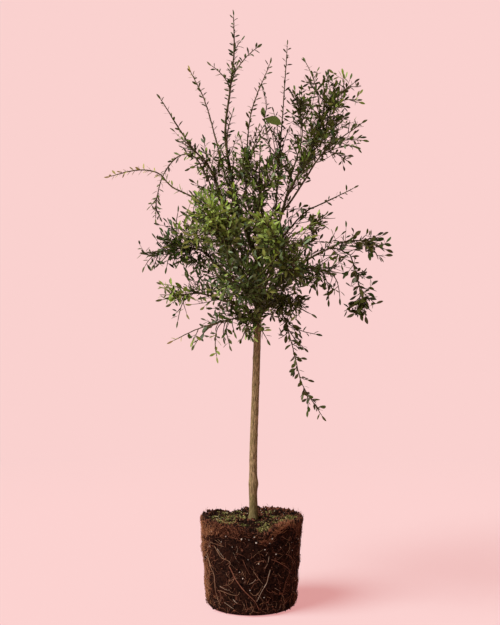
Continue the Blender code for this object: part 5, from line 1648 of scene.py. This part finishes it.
def lump_copies(lumps, rng, squash, least=0.72):
    """Corners of many small lumps, each a ball of twenty faces with its own knobs and proportions, from
    their (place, size). The lower the least knob's share of the radius, the more ragged they are."""
    places, sizes = (np.array(values) for values in zip(*lumps))
    shape = bmesh.new()
    bmesh.ops.create_icosphere(shape, subdivisions=1, radius=1)
    ball = np.array([vert.co[:] for vert in shape.verts])
    faces = [tuple(vert.index for vert in face.verts) for face in shape.faces]
    shape.free()
    count = len(lumps)
    knobs = rng.uniform(least, KNOB_SUM - least, (count, len(ball), 1))
    stretch = rng.uniform(1 - squash, 1 + squash, (count, 1, 3))
    turns = rng.uniform(0, math.tau, (count, 1))
    corners = ball[None] * knobs * stretch * sizes[:, None, None]
    x, y = corners[:, :, 0].copy(), corners[:, :, 1].copy()
    corners[:, :, 0] = x * np.cos(turns) - y * np.sin(turns)
    corners[:, :, 1] = x * np.sin(turns) + y * np.cos(turns)
    return corners + places[:, None, :], faces


def build_clods(materials):
    """Clods of soil heaped in places along the rim."""
    rng = random.Random("clods")
    shapes = np.random.default_rng(5)
    heaps = {"clods_dark": [], "clods_red": []}
    for degrees, far, count, size, red_share in CLODS:
        for _ in range(count):
            angle = math.radians(degrees + rng.gauss(0, CLOD_SPREAD))
            radius = min(far + rng.gauss(0, CLOD_SCATTER), BALL_TOP_RADIUS - CLOD_EDGE)
            lump = size * rng.uniform(*CLOD_SIZES)
            place = top_point(angle, radius) + Vector((0, 0, rng.uniform(0, CLOD_PILE) * lump))
            heaps["clods_red" if rng.random() < red_share else "clods_dark"].append((place, lump))
    for name, lumps in heaps.items():
        copies = lump_copies(lumps, shapes, CLOD_SQUASH, CLOD_LEAST_KNOB)
        copies_piece(name, copies, materials[name.replace("clods", "crumbs")], "soil", smooth=False)


def crumb_at(angle, part, size, rng):
    """(place, size) of one crumb, on the top, along the rim or on the side."""
    if part < CRUMBS_ON_TOP:
        place = top_point(angle, (BALL_TOP_RADIUS - RIM_ROUND) * math.sqrt(rng.uniform(MIDDLE_BARE, 1)))
        place.z += size * 0.5
    elif part < CRUMBS_ON_TOP_OR_RIM:
        place, out = side_point(angle, rng.uniform(*RIM_CRUMB_BAND))
        place += out * rng.uniform(*RIM_CRUMB_OUT) + Vector((0, 0, rng.uniform(0, RIM_CRUMB_PILE)))
        size *= RIM_CRUMB
    else:
        place, out = side_point(angle, rng.uniform(*SIDE_CRUMB_BAND))
        size *= SIDE_CRUMB
        place += out * size * SIDE_CRUMB_OUT
    return place, size


def build_crumbs(materials):
    """Crumbs of soil on the top, the rim and the side, and white grains of perlite among them."""
    rng = random.Random("crumbs")
    shapes = np.random.default_rng(11)
    crumbs = {"crumbs_dark": [], "crumbs_red": []}
    for _ in range(CRUMBS):
        angle = rng.uniform(0, math.tau)
        part = rng.random()
        place, size = crumb_at(angle, part, rng.choice(CRUMB_SIZES), rng)
        if place.z >= size * CRUMB_CLEAR:
            crumbs["crumbs_red" if rng.random() < RED_CRUMBS else "crumbs_dark"].append((place, size))
    for name, lumps in crumbs.items():
        copies = lump_copies(lumps, shapes, CRUMB_SQUASH)
        copies_piece(name, copies, materials[name], "soil", smooth=False)
    copies = lump_copies(perlite_grains(rng), shapes, PERLITE_SQUASH)
    copies_piece("perlite", copies, materials["perlite"], "soil")


def perlite_grains(rng):
    """(place, size) of the named grains on the front, and of loose ones elsewhere."""
    grains = []
    for degrees, height, size in PERLITE:
        place, out = side_point(math.radians(degrees), height)
        grains.append((place + out * PERLITE_OUT, size))
    for _ in range(LOOSE_PERLITE):
        angle = rng.uniform(PERLITE_FRONT, math.tau - PERLITE_FRONT)
        if rng.random() < PERLITE_ON_TOP:
            place = top_point(angle, PERLITE_TOP_RADIUS * math.sqrt(rng.uniform(MIDDLE_BARE, 1)))
            place += Vector((0, 0, PERLITE_TOP_HEIGHT))
        else:
            place, out = side_point(angle, PERLITE_SIDE_HEIGHT * rng.random() ** PERLITE_HIGHNESS)
            place += out * LOOSE_OUT
        if place.z > PERLITE_LOWEST:
            grains.append((place, rng.choice(PERLITE_SIZES)))
    return grains


def build_moss(materials):
    """Short upright shreds of moss and straw in patches on the top and in the bite of the rim."""
    rng = random.Random("moss")
    heaps = {kind: Heap() for kind in MOSS_MIX}
    for degrees, far, spread, tufts in MOSS:
        centre = front_way(math.radians(degrees)) * far
        for _ in range(tufts):
            scatter = [rng.gauss(0, spread * share) for share in MOSS_SPREADS]
            spot = centre + Vector((*scatter, 0))
            radius = spot.length
            if MOSS_NEAREST < radius < BALL_TOP_RADIUS - CLOD_EDGE:
                place = top_point(math.atan2(spot.x, -spot.y), radius)
                shred = moss_shred(place, rng)
                kind = rng.choices(list(MOSS_MIX), list(MOSS_MIX.values()))[0]
                heaps[kind].add(*shred)
    for kind, heap in heaps.items():
        heap.piece(kind, materials[kind], "soil", smooth=False)


def moss_shred(place, rng):
    """Corners and faces of one pointed shred that arches a little."""
    out = Vector([rng.uniform(-1, 1), rng.uniform(-1, 1), rng.uniform(*MOSS_RISE)]).normalized()
    length = rng.uniform(*MOSS_LENGTHS)
    side = out.orthogonal().normalized() * rng.uniform(*MOSS_WIDTHS)
    middle = place + out * length * MOSS_MIDDLE + Vector((0, 0, MOSS_ARCH))
    tip = place + out * length + Vector((0, 0, -MOSS_ARCH))
    foot = side * MOSS_FOOT
    corners = np.array([place - foot, place + foot, middle + side, middle - side, tip])
    return corners, [(0, 1, 2, 3), (3, 2, 4)]


# Materials


def new_group(name, inputs, outputs):
    """A node group with named inputs, as (name, kind, value), and outputs, as (name, kind)."""
    group = bpy.data.node_groups.new(name, "ShaderNodeTree")
    for label, kind, value in inputs:
        socket = group.interface.new_socket(name=label, in_out="INPUT", socket_type="NodeSocket" + kind)
        socket.default_value = value
    for label, kind in outputs:
        group.interface.new_socket(name=label, in_out="OUTPUT", socket_type="NodeSocket" + kind)
    return group, group.nodes.new("NodeGroupInput"), group.nodes.new("NodeGroupOutput")


def feed(tree, socket, value):
    """Link a socket to another one, or set it to a plain number or colour."""
    if isinstance(value, bpy.types.NodeSocket):
        tree.links.new(value, socket)
    elif isinstance(value, tuple):
        socket.default_value = (*value, 1)
    else:
        socket.default_value = value


def object_place(tree):
    return tree.nodes.new("ShaderNodeTexCoord").outputs["Object"]


def along_axis(tree, place, axis):
    """How far a place is along an axis."""
    split = tree.nodes.new("ShaderNodeSeparateXYZ")
    tree.links.new(place, split.inputs["Vector"])
    return split.outputs[axis]


def noise_mask(tree, place, scale, detail=3.0, roughness=0.55):
    """A soft random pattern at a place."""
    node = tree.nodes.new("ShaderNodeTexNoise")
    tree.links.new(place, node.inputs["Vector"])
    for label, value in (("Scale", scale), ("Detail", detail), ("Roughness", roughness)):
        feed(tree, node.inputs[label], value)
    return node.outputs["Fac"]


def colour_mix(tree, share, first, second):
    """A mix of two colours. Each may be a socket or a plain colour."""
    node = tree.nodes.new("ShaderNodeMix")
    node.data_type = "RGBA"
    for number, value in ((0, share), (6, first), (7, second)):
        feed(tree, node.inputs[number], value)
    return node.outputs[2]


def sum_node(tree, operation, *values):
    """A sum on numbers that change over the surface."""
    node = tree.nodes.new("ShaderNodeMath")
    node.operation = operation
    for socket, value in zip(node.inputs, values):
        feed(tree, socket, value)
    return node.outputs[0]


def range_node(tree, value, low, high, to_low=0.0, to_high=1.0):
    """A number taken from one range to another, and held at its ends."""
    node = tree.nodes.new("ShaderNodeMapRange")
    tree.links.new(value, node.inputs["Value"])
    for label, number in (("From Min", low), ("From Max", high), ("To Min", to_low), ("To Max", to_high)):
        node.inputs[label].default_value = number
    return node.outputs["Result"]


def mottling_group():
    """Two colours in soft patches, with a fine grain over them."""
    group, given, put = new_group(
        "mottling",
        [("Light", "Color", (1, 1, 1, 1)), ("Dark", "Color", (0, 0, 0, 1)), ("Scale", "Float", 60.0)],
        [("Colour", "Color"), ("Grain", "Float")],
    )
    place = object_place(group)
    patches = range_node(group, noise_mask(group, place, given.outputs["Scale"]), 0.35, 0.65)
    colour = colour_mix(group, patches, given.outputs["Dark"], given.outputs["Light"])
    group.links.new(colour, put.inputs["Colour"])
    group.links.new(noise_mask(group, place, FINE_GRAIN, detail=2.0), put.inputs["Grain"])
    return group


def bark_group():
    """Upright streaks and fissures, with a green bloom in patches."""
    group, given, put = new_group(
        "bark_streaks",
        [("Ridge", "Color", (1, 1, 1, 1)), ("Furrow", "Color", (0, 0, 0, 1)),
         ("Bloom", "Color", (0, 1, 0, 1)), ("Bloom Share", "Float", 0.3)],
        [("Colour", "Color"), ("Roughness", "Float"), ("Height", "Float")],
    )
    place = object_place(group)
    stretch = group.nodes.new("ShaderNodeMapping")
    stretch.inputs["Scale"].default_value = (1, 1, BARK_STRETCH)
    group.links.new(place, stretch.inputs["Vector"])
    streaks = noise_mask(group, stretch.outputs["Vector"], STREAKS, detail=5.0, roughness=0.65)
    blotches = noise_mask(group, place, BLOTCHES, detail=4.0, roughness=0.6)
    fine = noise_mask(group, place, FINE_BARK, roughness=0.6)
    furrows = range_node(group, streaks, 0.41, 0.62)
    colour = colour_mix(group, furrows, given.outputs["Furrow"], given.outputs["Ridge"])
    bloom = range_node(group, blotches, 0.45, 0.68)
    share = sum_node(group, "MULTIPLY", bloom, given.outputs["Bloom Share"])
    colour = colour_mix(group, share, colour, given.outputs["Bloom"])
    group.links.new(colour, put.inputs["Colour"])
    roughness = range_node(group, fine, 0.3, 0.7, to_low=0.72, to_high=0.95)
    group.links.new(roughness, put.inputs["Roughness"])
    group.links.new(sum_node(group, "MULTIPLY_ADD", streaks, STREAK_HEIGHT, fine), put.inputs["Height"])
    return group


def new_material(name, roughness, gloss=PLAIN_GLOSS):
    material = bpy.data.materials.new(name)
    material.use_nodes = True
    tree = material.node_tree
    surface = tree.nodes["Principled BSDF"]
    surface.inputs["Roughness"].default_value = roughness
    surface.inputs["Specular IOR Level"].default_value = gloss
    return material, tree, surface


def place_group(tree, group, **values):
    """A node group in a material, with the values of its inputs."""
    node = tree.nodes.new("ShaderNodeGroup")
    node.node_tree = group
    for label, value in values.items():
        feed(tree, node.inputs[label.replace("_", " ")], value)
    return node


def bump(tree, surface, height, distance, strength=1.0):
    node = tree.nodes.new("ShaderNodeBump")
    node.inputs["Distance"].default_value = distance
    node.inputs["Strength"].default_value = strength
    tree.links.new(height, node.inputs["Height"])
    tree.links.new(node.outputs["Normal"], surface.inputs["Normal"])


def darker(colour, share):
    return tuple(value * share for value in colour)


def leaf_material(name, tint, mottling):
    """A leathery blade: mottled above, a little glossy, and paler below."""
    material, tree, surface = new_material(name, LEAF_ROUGHNESS, LEAF_GLOSS)
    light, dark = (darker(tint.upper, share) for share in LEAF_MOTTLE)
    upper = place_group(tree, mottling, Light=light, Dark=dark, Scale=LEAF_MOTTLE_SCALE)
    side = tree.nodes.new("ShaderNodeNewGeometry").outputs["Backfacing"]
    colour = colour_mix(tree, side, upper.outputs["Colour"], tint.lower)
    tree.links.new(colour, surface.inputs["Base Color"])
    roughness = range_node(tree, upper.outputs["Grain"], 0.3, 0.7, to_low=0.34, to_high=0.52)
    tree.links.new(roughness, surface.inputs["Roughness"])
    bump(tree, surface, upper.outputs["Grain"], LEAF_RELIEF, 0.5)
    return material


def mottled_material(name, finish, mottling):
    """A finish in two colours that lie in soft patches, with a fine grain."""
    material, tree, surface = new_material(name, finish.roughness)
    patches = place_group(tree, mottling, Light=finish.light, Dark=finish.dark, Scale=finish.scale)
    tree.links.new(patches.outputs["Colour"], surface.inputs["Base Color"])
    bump(tree, surface, patches.outputs["Grain"], GRAIN_RELIEF)
    return material


def bark_material(name, bark, streaks, scarred=False):
    """Streaked bark, and on the trunk healed cuts and a green foot."""
    material, tree, surface = new_material(name, BARK_ROUGHNESS)
    made = place_group(
        tree, streaks, Ridge=bark.ridge, Furrow=bark.furrow, Bloom=bark.bloom, Bloom_Share=bark.share,
    )
    colour = made.outputs["Colour"]
    if scarred:
        scar = tree.nodes.new("ShaderNodeAttribute")
        scar.attribute_name = "scar"
        dark = range_node(tree, scar.outputs["Fac"], 0.25, 0.95, to_high=0.75)
        colour = greened_foot(tree, colour_mix(tree, dark, colour, SCAR_BROWN))
    tree.links.new(colour, surface.inputs["Base Color"])
    tree.links.new(made.outputs["Roughness"], surface.inputs["Roughness"])
    bump(tree, surface, made.outputs["Height"], bark.relief)
    return material


def greened_foot(tree, colour):
    """The trunk's bark greener towards the soil, where algae grow."""
    height = along_axis(tree, object_place(tree), "Z")
    green = range_node(tree, height, *ALGAE_BAND, to_low=0.55, to_high=0.0)
    return colour_mix(tree, green, colour, ALGAE_GREEN)


def soil_material(mottling):
    """Damp dark soil with reddish fibre in it, more on the flanks than on the front."""
    material, tree, surface = new_material("soil", SOIL_ROUGHNESS, SOIL_GLOSS)
    crumbs = place_group(tree, mottling, Light=SOIL_LIGHT, Dark=SOIL_DARK, Scale=SOIL_MOTTLE_SCALE)
    place = object_place(tree)
    patches = noise_mask(tree, place, SOIL_PATCHES, detail=4.0)
    patches = range_node(tree, patches, 0.50, 0.68, to_high=0.6)
    aside = sum_node(tree, "ABSOLUTE", along_axis(tree, place, "X"))
    flanks = range_node(tree, aside, *SOIL_FLANKS, to_low=0.25)
    share = sum_node(tree, "MULTIPLY", patches, flanks)
    colour = colour_mix(tree, share, crumbs.outputs["Colour"], SOIL_FIBRE)
    tree.links.new(colour, surface.inputs["Base Color"])
    bump(tree, surface, crumbs.outputs["Grain"], SOIL_RELIEF)
    return material


def make_materials():
    mottling, streaks = mottling_group(), bark_group()
    made = {
        "bark": bark_material("bark", TRUNK_BARK, streaks, scarred=True),
        "bough": bark_material("bough", BOUGH_BARK, streaks),
        "soil": soil_material(mottling),
    }
    for name, finish in FINISHES.items():
        made[name] = mottled_material(name, finish, mottling)
    for name, tint in TINTS.items():
        made["leaf_" + name] = leaf_material("leaf_" + name, tint, mottling)
    return made


# Floor, light and camera


def blend_shaders(tree, share, first, second, output):
    """The tree's surface as a mix of two shaders."""
    blend = tree.nodes.new("ShaderNodeMixShader")
    for socket, source in zip(blend.inputs, (share, first, second)):
        tree.links.new(source, socket)
    tree.links.new(blend.outputs[0], tree.nodes[output].inputs["Surface"])


def build_floor():
    """A pale pink floor that glows a little, as paper lit from all round does, and runs out into the
    backdrop."""
    mesh = bpy.data.meshes.new("floor")
    shape = bmesh.new()
    bmesh.ops.create_circle(shape, cap_ends=True, segments=96, radius=FLOOR_RADIUS)
    bmesh.ops.translate(shape, verts=shape.verts, vec=(0, 0, -FLOOR_DROP))
    shape.to_mesh(mesh)
    shape.free()
    floor = linked("floor", mesh)
    material, tree, surface = new_material("floor_paper", 0.95, 0.0)
    surface.inputs["Base Color"].default_value = (*FLOOR_PAPER, 1)
    surface.inputs["Emission Color"].default_value = (*FLOOR_GLOW, 1)
    surface.inputs["Emission Strength"].default_value = 1.0
    glow = tree.nodes.new("ShaderNodeEmission")
    glow.inputs["Color"].default_value = (*BACKDROP_PINK, 1)
    far = tree.nodes.new("ShaderNodeVectorMath")
    far.operation = "LENGTH"
    tree.links.new(object_place(tree), far.inputs[0])
    fade = range_node(tree, far.outputs["Value"], *FLOOR_FADE)
    blend_shaders(tree, fade, surface.outputs[0], glow.outputs[0], "Material Output")
    mesh.materials.append(material)


def light_studio():
    """A soft key from the front left, and the pink fill of a paper-lined studio."""
    key = bpy.data.lights.new("key", "SUN")
    key.energy = KEY_STRENGTH
    key.angle = KEY_SOFTNESS
    key.color = KEY_WHITE
    towards = Vector((
        math.cos(KEY_AZIMUTH) * math.cos(KEY_HEIGHT),
        math.sin(KEY_AZIMUTH) * math.cos(KEY_HEIGHT),
        math.sin(KEY_HEIGHT),
    ))
    lamp = linked("key", key)
    lamp.rotation_mode = "QUATERNION"
    lamp.rotation_quaternion = towards.to_track_quat("Z", "Y")
    world = bpy.data.worlds.new("studio")
    bpy.context.scene.world = world
    world.use_nodes = True
    tree = world.node_tree
    fill = tree.nodes["Background"]
    fill.inputs["Color"].default_value = (*FILL_PINK, 1)
    backdrop = tree.nodes.new("ShaderNodeBackground")
    backdrop.inputs["Color"].default_value = (*BACKDROP_PINK, 1)
    to_camera = tree.nodes.new("ShaderNodeLightPath").outputs["Is Camera Ray"]
    blend_shaders(tree, to_camera, fill.outputs[0], backdrop.outputs[0], "World Output")
    bpy.context.scene.view_settings.view_transform = "Standard"


def place_camera():
    lens = bpy.data.cameras.new("camera")
    lens.sensor_width = SENSOR
    lens.lens = FOCAL_PIXELS / FRAME_HEIGHT * SENSOR
    lens.shift_y = HORIZON_BELOW_MIDDLE / FRAME_HEIGHT
    lens.clip_end = 100
    camera = linked("camera", lens)
    camera.location = CAMERA_PLACE
    camera.rotation_euler = (math.pi / 2, 0, 0)
    bpy.context.scene.camera = camera


def main():
    materials = make_materials()
    place_camera()
    light_studio()
    build_floor()
    grown = {"trunk": build_trunk(materials["bark"])}
    build_limbs(grown, materials["bough"], materials["green_wood"])
    build_crown(grown, materials)
    build_soil(materials["soil"])
    build_roots(materials)
    build_coir(materials)
    build_crumbs(materials)
    build_clods(materials)
    build_moss(materials)


main()
